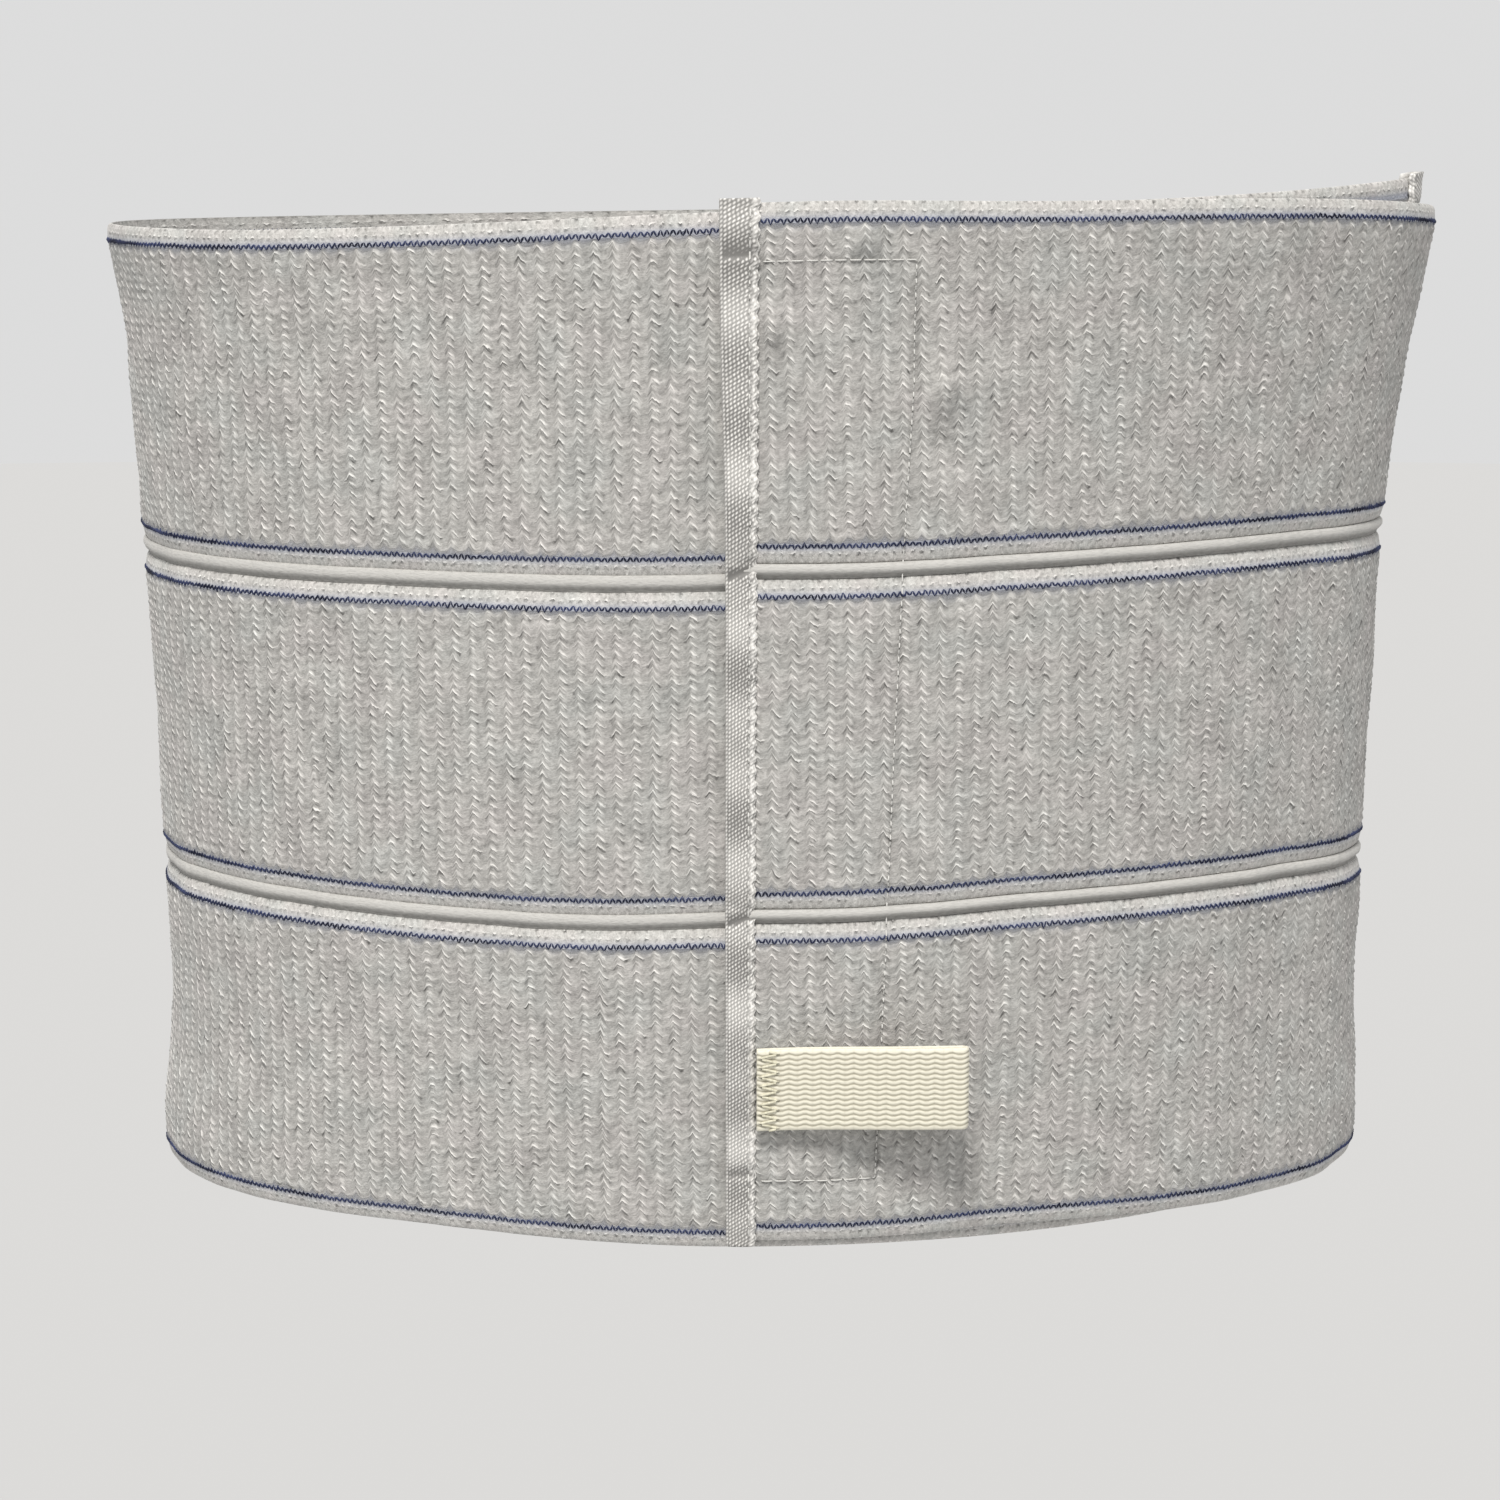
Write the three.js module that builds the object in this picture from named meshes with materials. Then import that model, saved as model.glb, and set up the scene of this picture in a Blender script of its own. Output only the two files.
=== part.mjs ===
// Abdominal binder: three elastic panels joined edge to edge into one band, wound once round the torso and
// on over its own first end. The flap closes over the underlap with a hidden hook strip at the front, both
// ends are bound with tape, and a folded webbing tab on the flap pulls the band tight.
// Millimetres, +Z up. The origin is the middle of the hollow at half height, the wearer faces -Y.
// A turn is an angle in degrees round +Z from the front centre, through -X, the back and +X.
import * as THREE from "three";

// Driving dimensions of the band
const panel_height = 74.2;
const panel_thickness = 2.2;
const ridge_height = 2.6;
const ridge_thickness = 1.6;
const piece_gap = 0.3;
const end_squeeze = 0.75;
const squeeze_length = 12;
const waist_width = 288.6;
const waist_depth = 208;
const front_roundness = 2.08;
const back_roundness = 2.3;

// Driving dimensions of the closure
const underlap_end_turn = -77;
const flap_end_turn = 364.9;
const binding_width = 8.6;
const binding_wall = 0.7;
const binding_overhang = 1;
const hook_strip_width = 34.5;
const hook_strip_thickness = 1.2;
const hook_strip_top_margin = 10.5;
const hook_strip_bottom_margin = 13.5;

// Driving dimensions of the pull tab
const tab_length = 46.4;
const tab_height = 19;
const webbing_thickness = 1.3;
const tab_fold_radius = 1.9;
const tab_slot = 0.2;
const tab_sewn_length = 5;
const tab_drop = 192.5;

// Steps along and across the band
const coarse_step = 6;
const finest_step = 1.5;
const fine_zones = [
  { from: underlap_end_turn, to: underlap_end_turn + 4.5, step: finest_step },
  { from: underlap_end_turn + 4.5, to: underlap_end_turn + 12, step: 2 * finest_step },
  { from: underlap_end_turn + 352, to: underlap_end_turn + 376, step: 2 * finest_step },
  { from: flap_end_turn - 36, to: flap_end_turn, step: 2 * finest_step },
];
const normal_step = 0.5;
const hook_strip_steps_down = 9;
const hook_strip_steps_along = 4;
const tab_steps = 8;
const fold_steps = 6;

// Worked out from the driving dimensions
const ridge_room = ridge_height + 2 * piece_gap;
const seam_pitch = panel_height + ridge_room;
const band_height = 3 * panel_height + 2 * ridge_room;
const half_height = band_height / 2;
const half_width = waist_width / 2;
const half_depth = waist_depth / 2;
const binding_stand = binding_wall + piece_gap;
const over_underlap_end = 2 * binding_stand + panel_thickness + 2 * piece_gap;
const over_underlap = panel_thickness + piece_gap;
const hook_strip_stand = Math.max(hook_strip_thickness, binding_wall) + piece_gap;
const nose_bevel = binding_wall * 0.7;

// The outside of the band, height by height: shares of the waist's half width and half depth
const torso_sections = [
  { up: 0, left: 1.012, right: 1.004, front: 1.008, back: 0.975 },
  { up: 0.05, left: 1.014, right: 1.011, front: 1.012, back: 0.968 },
  { up: 0.17, left: 0.999, right: 1.003, front: 1.025, back: 0.945 },
  { up: 0.33, left: 1.007, right: 1.01, front: 1.036, back: 0.932 },
  { up: 0.5, left: 1.016, right: 1.02, front: 1.038, back: 0.938 },
  { up: 0.67, left: 1.032, right: 1.032, front: 1.036, back: 0.955 },
  { up: 0.8, left: 1.045, right: 1.058, front: 1.034, back: 0.975 },
  { up: 0.9, left: 1.058, right: 1.084, front: 1.036, back: 0.99 },
  { up: 1, left: 1.09, right: 1.114, front: 1.042, back: 1.005 },
];

// How far the edges and seams ride up as the band goes round: shares of the band's height
const ride_up = [
  { turn: -80, top: 0.031, upper_seam: 0.02, lower_seam: 0.014, bottom: 0.012 },
  { turn: -50, top: 0.009, upper_seam: 0.003, lower_seam: 0.003, bottom: 0.003 },
  { turn: -22, top: -0.001, upper_seam: -0.014, lower_seam: -0.006, bottom: -0.003 },
  { turn: 5, top: -0.0066, upper_seam: -0.024, lower_seam: -0.0105, bottom: -0.0057 },
  { turn: 20, top: -0.0122, upper_seam: -0.0262, lower_seam: -0.0153, bottom: -0.0035 },
  { turn: 40, top: -0.02, upper_seam: -0.025, lower_seam: -0.013, bottom: 0.0022 },
  { turn: 60, top: -0.024, upper_seam: -0.0245, lower_seam: -0.01, bottom: 0 },
  { turn: 90, top: -0.0175, upper_seam: -0.02, lower_seam: -0.0105, bottom: -0.0052 },
  { turn: 180, top: -0.005, upper_seam: -0.006, lower_seam: -0.004, bottom: 0 },
  { turn: 270, top: -0.0026, upper_seam: 0, lower_seam: -0.007, bottom: 0.0044 },
  { turn: 300, top: 0.006, upper_seam: 0.0022, lower_seam: 0.0044, bottom: 0.0035 },
  { turn: 330, top: 0.0035, upper_seam: -0.0052, lower_seam: 0.0039, bottom: 0.0113 },
  { turn: 350, top: 0.004, upper_seam: -0.0109, lower_seam: -0.0026, bottom: 0.0065 },
  { turn: 366, top: 0.001, upper_seam: -0.0109, lower_seam: -0.0035, bottom: 0.0052 },
];

// How far the band's inside stands off the torso: what it passes over, layer by layer
const tape_turn = turnOf(binding_width, underlap_end_turn);
const strip_turn = turnOf(hook_strip_width + binding_width, flap_end_turn);
const covered_end_turn = underlap_end_turn + 360;
const rise_turn = 15;
const stand_off = [
  { turn: underlap_end_turn, stand: binding_stand },
  { turn: underlap_end_turn + 1.2 * tape_turn, stand: binding_stand },
  { turn: underlap_end_turn + 3.5 * tape_turn, stand: 0 },
  { turn: covered_end_turn - tape_turn - rise_turn, stand: 0 },
  { turn: covered_end_turn - tape_turn, stand: over_underlap_end },
  { turn: covered_end_turn + 1.6 * tape_turn, stand: over_underlap_end },
  { turn: covered_end_turn + 5 * tape_turn, stand: over_underlap },
  { turn: flap_end_turn - strip_turn - 0.75 * rise_turn, stand: over_underlap },
  { turn: flap_end_turn - strip_turn, stand: over_underlap + hook_strip_stand },
  { turn: flap_end_turn, stand: over_underlap + hook_strip_stand },
];

// A panel's thickness from its top edge down: thin selvedges and a full middle, as shares
const panel_profile = [
  { down: 0, thick: 0.6 },
  { down: 0.07, thick: 1 },
  { down: 0.36, thick: 1 },
  { down: 0.64, thick: 1 },
  { down: 0.93, thick: 1 },
  { down: 1, thick: 0.6 },
];

// A seam ridge's thickness from its top edge down: a rounded top over a flat base
const ridge_profile = [
  { down: 0, thick: 0.7 },
  { down: 0.5, thick: 1 },
  { down: 1, thick: 0.7 },
];

// Shallow dents of the flap beside the sewn hook strip: places and reaches in turns and shares of the
// band's height, depths as shares of the panel's thickness
const dents = [
  { turn: 343.5, down: 0.17, wide: 5, tall: 0.05, deep: 0.5 },
  { turn: 355.5, down: 0.135, wide: 4, tall: 0.05, deep: 0.35 },
  { turn: 346, down: 0.52, wide: 4, tall: 0.1, deep: 0.3 },
];

// The binding tape's width and the hook strip's width from the top down, as shares
const tape_widths = [
  { down: 0, tape: 1, strip: 1 },
  { down: 0.12, tape: 0.94, strip: 1.02 },
  { down: 0.32, tape: 0.8, strip: 0.97 },
  { down: 0.66, tape: 0.76, strip: 0.89 },
  { down: 1, tape: 0.78, strip: 0.82 },
];

// How far the pull tab stands off the flap's tangent from its sewn end out, as shares of its length
const tab_route = [
  { along: 0, stand: 0 },
  { along: 0.12, stand: 0 },
  { along: 0.35, stand: 0.02 },
  { along: 0.7, stand: 0.075 },
  { along: 1, stand: 0.105 },
];

// Value of one column of a table at a place, on a smooth curve through its rows
function along(rows, place, at, column) {
  const last = rows.length - 1;
  let i = 0;
  while (i < last - 1 && at > rows[i + 1][place]) i += 1;
  const slope = (k) => {
    const before = rows[Math.max(k - 1, 0)];
    const after = rows[Math.min(k + 1, last)];
    return (after[column] - before[column]) / (after[place] - before[place]);
  };
  const low = rows[i];
  const high = rows[i + 1];
  const span = high[place] - low[place];
  const t = (at - low[place]) / span;
  if (t <= 0) return low[column] + slope(i) * span * t;
  if (t >= 1) return high[column] + slope(i + 1) * span * (t - 1);
  const t2 = t * t;
  const t3 = t2 * t;
  return (
    (2 * t3 - 3 * t2 + 1) * low[column] +
    (t3 - 2 * t2 + t) * span * slope(i) +
    (3 * t2 - 2 * t3) * high[column] +
    (t3 - t2) * span * slope(i + 1)
  );
}

// Value of one column of a table at a place, on straight lines with eased corners between its rows
function easedAlong(rows, place, at, column) {
  const last = rows.length - 1;
  let i = 0;
  while (i < last - 1 && at > rows[i + 1][place]) i += 1;
  const span = rows[i + 1][place] - rows[i][place];
  const t = THREE.MathUtils.clamp((at - rows[i][place]) / span, 0, 1);
  const eased = t * t * (3 - 2 * t);
  return THREE.MathUtils.lerp(rows[i][column], rows[i + 1][column], eased);
}

// Height of a place on the band: its distance down from the top edge, moved by the ride up at that turn
function heightAt(turn, down) {
  const ride = (edge) => along(ride_up, "turn", turn, edge) * band_height;
  const guides = [
    { down: 0, ride: ride("top") },
    { down: seam_pitch - ridge_room / 2, ride: ride("upper_seam") },
    { down: 2 * seam_pitch - ridge_room / 2, ride: ride("lower_seam") },
    { down: band_height, ride: ride("bottom") },
  ];
  let i = 0;
  while (i < 2 && down > guides[i + 1].down) i += 1;
  const t = (down - guides[i].down) / (guides[i + 1].down - guides[i].down);
  return half_height - down + THREE.MathUtils.lerp(guides[i].ride, guides[i + 1].ride, t);
}

// Point of the outside of a single layer, at a turn and a height
function outlinePoint(turn, z) {
  const angle = THREE.MathUtils.degToRad(turn);
  const up = z / band_height + 0.5;
  const leftward = Math.sin(angle);
  const frontward = Math.cos(angle);
  const width = half_width * along(torso_sections, "up", up, leftward > 0 ? "left" : "right");
  const depth = half_depth * along(torso_sections, "up", up, frontward > 0 ? "front" : "back");
  const backness = (1 - frontward) / 2;
  const roundness = THREE.MathUtils.lerp(front_roundness, back_roundness, backness);
  const sum =
    Math.pow(Math.abs(leftward) / width, roundness) + Math.pow(Math.abs(frontward) / depth, roundness);
  const radius = Math.pow(sum, -1 / roundness);
  return new THREE.Vector2(-radius * leftward, -radius * frontward);
}

// Point at a turn and a distance down the band, this far out from the torso
function bandPoint(turn, down, out) {
  const z = heightAt(turn, down);
  const here = outlinePoint(turn, z);
  const run = outlinePoint(turn + normal_step, z).sub(outlinePoint(turn - normal_step, z)).normalize();
  const reach = out - panel_thickness;
  return new THREE.Vector3(here.x - run.y * reach, here.y + run.x * reach, z);
}

// Degrees of turn that a length takes along the band at half height
function turnOf(length, turn) {
  const run = outlinePoint(turn + normal_step, 0).distanceTo(outlinePoint(turn - normal_step, 0));
  return (length * 2 * normal_step) / run;
}

// How much the binding has squeezed the band at a turn: a share of its full thickness
function squeezeAt(turn) {
  const reach = turnOf(squeeze_length, turn);
  const from_end = Math.min(turn - underlap_end_turn, flap_end_turn - turn);
  const t = THREE.MathUtils.clamp(from_end / reach, 0, 1);
  return THREE.MathUtils.lerp(end_squeeze, 1, t * t * (3 - 2 * t));
}

// How far the dents press the flap in at a place, in millimetres
function dentAt(turn, down) {
  let deep = 0;
  for (const dent of dents) {
    const across = (turn - dent.turn) / dent.wide;
    const along_height = (down / band_height - dent.down) / dent.tall;
    deep += dent.deep * panel_thickness * Math.exp(-across * across - along_height * along_height);
  }
  return deep;
}

// How far the band's inside stands off the torso at a turn
const insideStand = (turn) => easedAlong(stand_off, "turn", turn, "stand");

// How far the band's outside stands off the torso, the seam ridges included
function outsideStand(turn, down) {
  const in_pitch = down % seam_pitch;
  const in_ridge = in_pitch > panel_height;
  const share = in_ridge ? 1 : easedAlong(panel_profile, "down", in_pitch / panel_height, "thick");
  const thickness = in_ridge ? ridge_thickness : panel_thickness * share;
  return insideStand(turn) + thickness * squeezeAt(turn);
}

// Turns at which the band is cut into steps, from one of its ends to the other. Layers share their steps.
function bandTurns() {
  const turns = [underlap_end_turn];
  const least_step = finest_step / 3;
  const first = Math.ceil((underlap_end_turn + least_step) / finest_step) * finest_step;
  for (let turn = first; turn < flap_end_turn - least_step; turn += finest_step) {
    const zone = fine_zones.find(({ from, to }) => turn > from && turn < to);
    if (turn % (zone ? zone.step : coarse_step) === 0) turns.push(turn);
  }
  turns.push(flap_end_turn);
  return turns;
}

// Geometry of a closed solid from its corners and triangles
function solidGeometry(corners, triangles) {
  const geometry = new THREE.BufferGeometry();
  const positions = corners.flatMap((corner) => [corner.x, corner.y, corner.z]);
  geometry.setAttribute("position", new THREE.Float32BufferAttribute(positions, 3));
  geometry.setIndex(triangles);
  geometry.computeVertexNormals();
  return geometry;
}

// Triangles that close a flat strip's ring: its second half runs back along its first
function ladderCap(count) {
  const triangles = [];
  for (let i = 0; i + 1 < count / 2; i += 1) {
    const across = count - 1 - i;
    triangles.push([i, i + 1, across], [i + 1, across - 1, across]);
  }
  return triangles;
}

// Triangles that close a ring of any outline, given in two dimensions
function outlineCap(outline) {
  const found = THREE.ShapeUtils.triangulateShape(outline, []);
  return THREE.ShapeUtils.isClockWise(outline) ? found.map(([a, b, c]) => [a, c, b]) : found;
}

// Closed solid through a row of rings with as many corners each, capped at both ends
function skinRings(rings, cap) {
  const count = rings[0].length;
  const triangles = [];
  for (let i = 0; i + 1 < rings.length; i += 1) {
    for (let j = 0; j < count; j += 1) {
      const a = i * count + j;
      const b = i * count + ((j + 1) % count);
      triangles.push(a, b + count, b);
      triangles.push(a, a + count, b + count);
    }
  }
  const last = (rings.length - 1) * count;
  for (const [a, b, c] of cap) {
    triangles.push(a, b, c);
    triangles.push(last + a, last + c, last + b);
  }
  return solidGeometry(rings.flat(), triangles);
}

// One strip of the band, its outside shaped by a profile and its inside flat on what it lies on
function stripGeometry(top_edge, height, thickness, profile) {
  const inside = profile.map((row) => ({ down: row.down, thick: 0 })).reverse();
  const section = [...profile, ...inside];
  const rings = bandTurns().map((turn) =>
    section.map((row) => {
      const down = top_edge + row.down * height;
      const dent = row.thick > 0 ? dentAt(turn, down) : 0;
      return bandPoint(turn, down, insideStand(turn) + thickness * row.thick * squeezeAt(turn) - dent);
    }),
  );
  return skinRings(rings, ladderCap(section.length));
}

// One panel, counted from the top
const panelGeometry = (i) =>
  stripGeometry(i * seam_pitch, panel_height, panel_thickness, panel_profile);

// The seam ridge under that panel
const ridgeGeometry = (i) =>
  stripGeometry(i * seam_pitch + panel_height + piece_gap, ridge_height, ridge_thickness, ridge_profile);

// Distances down the band at which a binding is cut, the selvedges and seams among them
function bindingDrops() {
  const drops = [-binding_overhang];
  for (const panel of [0, 1, 2]) {
    drops.push(...panel_profile.map((row) => panel * seam_pitch + row.down * panel_height));
    if (panel < 2) drops.push(panel * seam_pitch + panel_height + ridge_room / 2);
  }
  drops.push(band_height + binding_overhang);
  return drops;
}

// Width of the binding tape at a distance down the band
const tapeWidth = (down) => binding_width * along(tape_widths, "down", down / band_height, "tape");

// Binding tape folded over one end of the band. onward is 1 at the flap's end and -1 at the underlap's.
function bindingGeometry(end_turn, onward) {
  const placed = (down, back, side, layer) => {
    const turn = end_turn + onward * turnOf(binding_stand - back, end_turn);
    const on_band = onward > 0 ? Math.min(turn, end_turn) : Math.max(turn, end_turn);
    const content = THREE.MathUtils.clamp(down, 0, band_height - piece_gap);
    const face = side > 0 ? outsideStand(on_band, content) : insideStand(on_band);
    return bandPoint(turn, down, face + side * layer);
  };
  const rings = bindingDrops().map((down) => {
    const width = tapeWidth(down);
    const middle = width / 2;
    return [
      placed(down, width, 1, binding_stand),
      placed(down, middle, 1, binding_stand),
      placed(down, nose_bevel, 1, binding_stand),
      placed(down, 0, 1, binding_stand - nose_bevel),
      placed(down, 0, -1, binding_stand - nose_bevel),
      placed(down, nose_bevel, -1, binding_stand),
      placed(down, middle, -1, binding_stand),
      placed(down, width, -1, binding_stand),
      placed(down, width, -1, piece_gap),
      placed(down, middle, -1, piece_gap),
      placed(down, binding_wall, -1, piece_gap),
      placed(down, binding_wall, 1, piece_gap),
      placed(down, middle, 1, piece_gap),
      placed(down, width, 1, piece_gap),
    ];
  });
  const half = (end_squeeze * panel_thickness) / 2;
  const outline = [
    [binding_width, half + binding_stand],
    [binding_width / 2, half + binding_stand],
    [nose_bevel, half + binding_stand],
    [0, half + binding_stand - nose_bevel],
    [0, -half - binding_stand + nose_bevel],
    [nose_bevel, -half - binding_stand],
    [binding_width / 2, -half - binding_stand],
    [binding_width, -half - binding_stand],
    [binding_width, -half - piece_gap],
    [binding_width / 2, -half - piece_gap],
    [binding_wall, -half - piece_gap],
    [binding_wall, half + piece_gap],
    [binding_width / 2, half + piece_gap],
    [binding_width, half + piece_gap],
  ].map(([back, stand]) => new THREE.Vector2(back, stand));
  if (onward > 0) rings.reverse();
  return skinRings(rings, outlineCap(outline));
}

// Turn of a place this far back from the nose of the flap's binding
const backFromNose = (back) => flap_end_turn + turnOf(binding_stand - back, flap_end_turn);

// The hook strip on the flap's inside, from the binding's edge back, narrower at its lower end
function hookStripGeometry() {
  const top = hook_strip_top_margin;
  const bottom = band_height - hook_strip_bottom_margin;
  const shares = Array.from({ length: hook_strip_steps_along + 1 }, (_, i) => i / hook_strip_steps_along);
  const section = [
    ...shares.map((share) => ({ back: share, layer: 0 })),
    ...shares.map((share) => ({ back: 1 - share, layer: -1 })),
  ];
  const rings = Array.from({ length: hook_strip_steps_down + 1 }, (_, i) => {
    const down = THREE.MathUtils.lerp(top, bottom, i / hook_strip_steps_down);
    const width = hook_strip_width * along(tape_widths, "down", down / band_height, "strip");
    return section.map(({ back, layer }) => {
      const turn = backFromNose(tapeWidth(down) + piece_gap + back * width);
      const stand = insideStand(turn) - piece_gap + layer * hook_strip_thickness;
      return bandPoint(turn, down, stand);
    });
  });
  return skinRings(rings, ladderCap(section.length));
}

// The pull tab: one length of webbing folded on itself, sewn at the binding's edge and free at its fold
function pullTabGeometry() {
  const sewn_turn = backFromNose(tapeWidth(tab_drop) + piece_gap);
  const stand = outsideStand(sewn_turn, tab_drop) + 2 * piece_gap;
  const seat = bandPoint(sewn_turn, tab_drop, stand);
  const half = tab_height / 2;
  const onward = bandPoint(sewn_turn - normal_step, tab_drop, 0);
  const run = onward.sub(bandPoint(sewn_turn + normal_step, tab_drop, 0)).setZ(0).normalize();
  const outward = new THREE.Vector3(run.y, -run.x, 0);
  const at = (length, out) => seat.clone().addScaledVector(run, length).addScaledVector(outward, out);
  const straight = tab_length - tab_fold_radius;
  const standAt = (length) => tab_length * along(tab_route, "along", length / tab_length, "stand");
  const depthAt = (length) =>
    THREE.MathUtils.lerp(2 * webbing_thickness + tab_slot, 2 * tab_fold_radius, length / straight);
  const contour = (from, inset) => {
    const points = [];
    for (let i = 0; i <= tab_steps; i += 1) {
      const length = THREE.MathUtils.lerp(from, straight, i / tab_steps);
      points.push(at(length, standAt(length) + inset));
    }
    const middle = standAt(straight) + tab_fold_radius;
    for (let i = 1; i < fold_steps; i += 1) {
      const angle = (Math.PI * i) / fold_steps - Math.PI / 2;
      const radius = tab_fold_radius - inset;
      points.push(at(straight + radius * Math.cos(angle), middle + radius * Math.sin(angle)));
    }
    for (let i = tab_steps; i >= 0; i -= 1) {
      const length = THREE.MathUtils.lerp(from, straight, i / tab_steps);
      points.push(at(length, standAt(length) + depthAt(length) - inset));
    }
    return points;
  };
  const outer = contour(0, 0);
  const slot = contour(tab_sewn_length, webbing_thickness);
  const count = outer.length;
  const corners = [-half, half].flatMap((drop) => {
    const lean = bandPoint(sewn_turn, tab_drop + drop, stand).sub(seat);
    return [...outer, ...slot].map((point) => point.clone().add(lean));
  });
  const triangles = [];
  const quad = (a, b, c, d) => triangles.push(a, b, c, a, c, d);
  for (let i = 0; i < count; i += 1) {
    const next = (i + 1) % count;
    const low = 2 * count;
    quad(i, next, low + next, low + i);
    quad(count + next, count + i, low + count + i, low + count + next);
    quad(count + i, count + next, next, i);
    quad(low + i, low + next, low + count + next, low + count + i);
  }
  return solidGeometry(corners, triangles);
}

// Materials
const knit = new THREE.MeshStandardMaterial({ color: 0xd9dade, roughness: 0.92, metalness: 0 });
const ridge_yarn = new THREE.MeshStandardMaterial({ color: 0xe6e7ea, roughness: 0.85, metalness: 0 });
const satin_tape = new THREE.MeshStandardMaterial({ color: 0xe8e9ec, roughness: 0.5, metalness: 0 });
const hook_fabric = new THREE.MeshStandardMaterial({ color: 0xf0f0ee, roughness: 0.8, metalness: 0 });
const cream_webbing = new THREE.MeshStandardMaterial({ color: 0xebe5d3, roughness: 0.8, metalness: 0 });

const binder = new THREE.Group();

// One named piece of the binder
function addPiece(name, geometry, material) {
  const piece = new THREE.Mesh(geometry, material);
  piece.name = name;
  binder.add(piece);
}

addPiece("upper_panel", panelGeometry(0), knit);
addPiece("middle_panel", panelGeometry(1), knit);
addPiece("lower_panel", panelGeometry(2), knit);
addPiece("upper_seam_ridge", ridgeGeometry(0), ridge_yarn);
addPiece("lower_seam_ridge", ridgeGeometry(1), ridge_yarn);
addPiece("flap_binding", bindingGeometry(flap_end_turn, 1), satin_tape);
addPiece("underlap_binding", bindingGeometry(underlap_end_turn, -1), satin_tape);
addPiece("hook_strip", hookStripGeometry(), hook_fabric);
addPiece("pull_tab", pullTabGeometry(), cream_webbing);

export default binder;
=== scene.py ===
# %% [markdown]
# # An elastic abdominal binder, worn
#
# Three knitted elastic panels are joined edge to edge into one wide band. The band goes once round the
# waist and closes over its own first end with a hidden hook strip. Both ends are bound with satin tape,
# navy zigzag thread runs along every panel edge, and a folded webbing tab on the flap pulls the band
# tight.
#
# The solids give each piece its place and size. This lesson gives each piece its surface: it makes the
# knit, the ridges, the tapes, the threads and the webbing as real relief, and leaves to the materials
# the colours and what is finer.

# %% Load the solids
import math

import bmesh
import bpy
import numpy as np
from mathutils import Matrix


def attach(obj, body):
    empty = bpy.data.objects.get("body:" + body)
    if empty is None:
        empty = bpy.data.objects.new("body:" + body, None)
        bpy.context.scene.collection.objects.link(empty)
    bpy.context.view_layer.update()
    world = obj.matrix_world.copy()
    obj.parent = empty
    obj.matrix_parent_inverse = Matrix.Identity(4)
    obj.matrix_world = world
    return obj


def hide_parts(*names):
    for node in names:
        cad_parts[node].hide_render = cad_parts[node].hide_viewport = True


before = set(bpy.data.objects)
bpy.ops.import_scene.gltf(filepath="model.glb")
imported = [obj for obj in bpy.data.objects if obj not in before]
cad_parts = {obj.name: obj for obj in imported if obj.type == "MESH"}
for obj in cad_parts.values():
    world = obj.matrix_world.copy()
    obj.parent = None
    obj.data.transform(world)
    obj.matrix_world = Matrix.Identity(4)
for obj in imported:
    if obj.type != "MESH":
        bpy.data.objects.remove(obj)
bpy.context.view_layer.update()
print("solids:", sorted(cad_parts))

# %% [markdown]
# ## The maker's sizes
#
# The sizes that the solids were built from are repeated here in metres, so that each new piece lands on
# the solid that it dresses. A reader who changes one of them changes it in both places. A few forms
# follow the photograph more closely than the solids do, and each is named where it comes.

# %% Sizes of the band, the closure and the pull tab
mm = 0.001
panel_count = 3
panel_height = 74.2 * mm
panel_thickness = 2.2 * mm
ridge_height = 2.6 * mm
ridge_thickness = 1.6 * mm
piece_gap = 0.3 * mm
end_squeeze = 0.75
squeeze_length = 12 * mm
half_width = 288.6 / 2 * mm
half_depth = 208 / 2 * mm
front_roundness = 2.08
back_roundness = 2.3

underlap_end_turn = -77
flap_end_turn = 364.9
binding_width = 8.6 * mm
binding_wall = 0.7 * mm
binding_overhang = 1 * mm
hook_strip_width = 34.5 * mm
hook_strip_thickness = 1.2 * mm
hook_strip_top_margin = 10.5 * mm
hook_strip_bottom_margin = 13.5 * mm

tab_length = 46.4 * mm
tab_height = 19 * mm
webbing_thickness = 1.3 * mm
tab_fold_radius = 1.9 * mm
tab_slot = 0.2 * mm
tab_drop = 192.5 * mm

ridge_room = ridge_height + 2 * piece_gap
seam_pitch = panel_height + ridge_room
band_height = panel_count * panel_height + (panel_count - 1) * ridge_room
binding_stand = binding_wall + piece_gap
over_underlap_end = 2 * binding_stand + panel_thickness + 2 * piece_gap
over_underlap = panel_thickness + piece_gap
hook_strip_stand = max(hook_strip_thickness, binding_wall) + piece_gap
print(f"the band is {band_height / mm:.1f} mm high")

# %% [markdown]
# ## How the band lies
#
# A place on the band has two numbers. Its turn is the angle in degrees round the hollow, from the front
# centre by the left of the picture to the back, and on over the first end again. Its drop is the distance
# down from the top edge. Short tables say how wide the hollow is at each height, how the edges ride up,
# where the cloth is dented (a minus sign makes a bulge), how wide the tape and the hook strip are on the
# way down, and how far the tab stands off. Against the solids the right side is drawn in by two
# millimetres, the dents are narrower, and the flap's end leans a little more, because the photograph
# shows them so.


# %% Tables with named columns
def table(columns, *rows):
    return {name: np.array(column, float) for name, column in zip(columns.split(), zip(*rows))}


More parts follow.
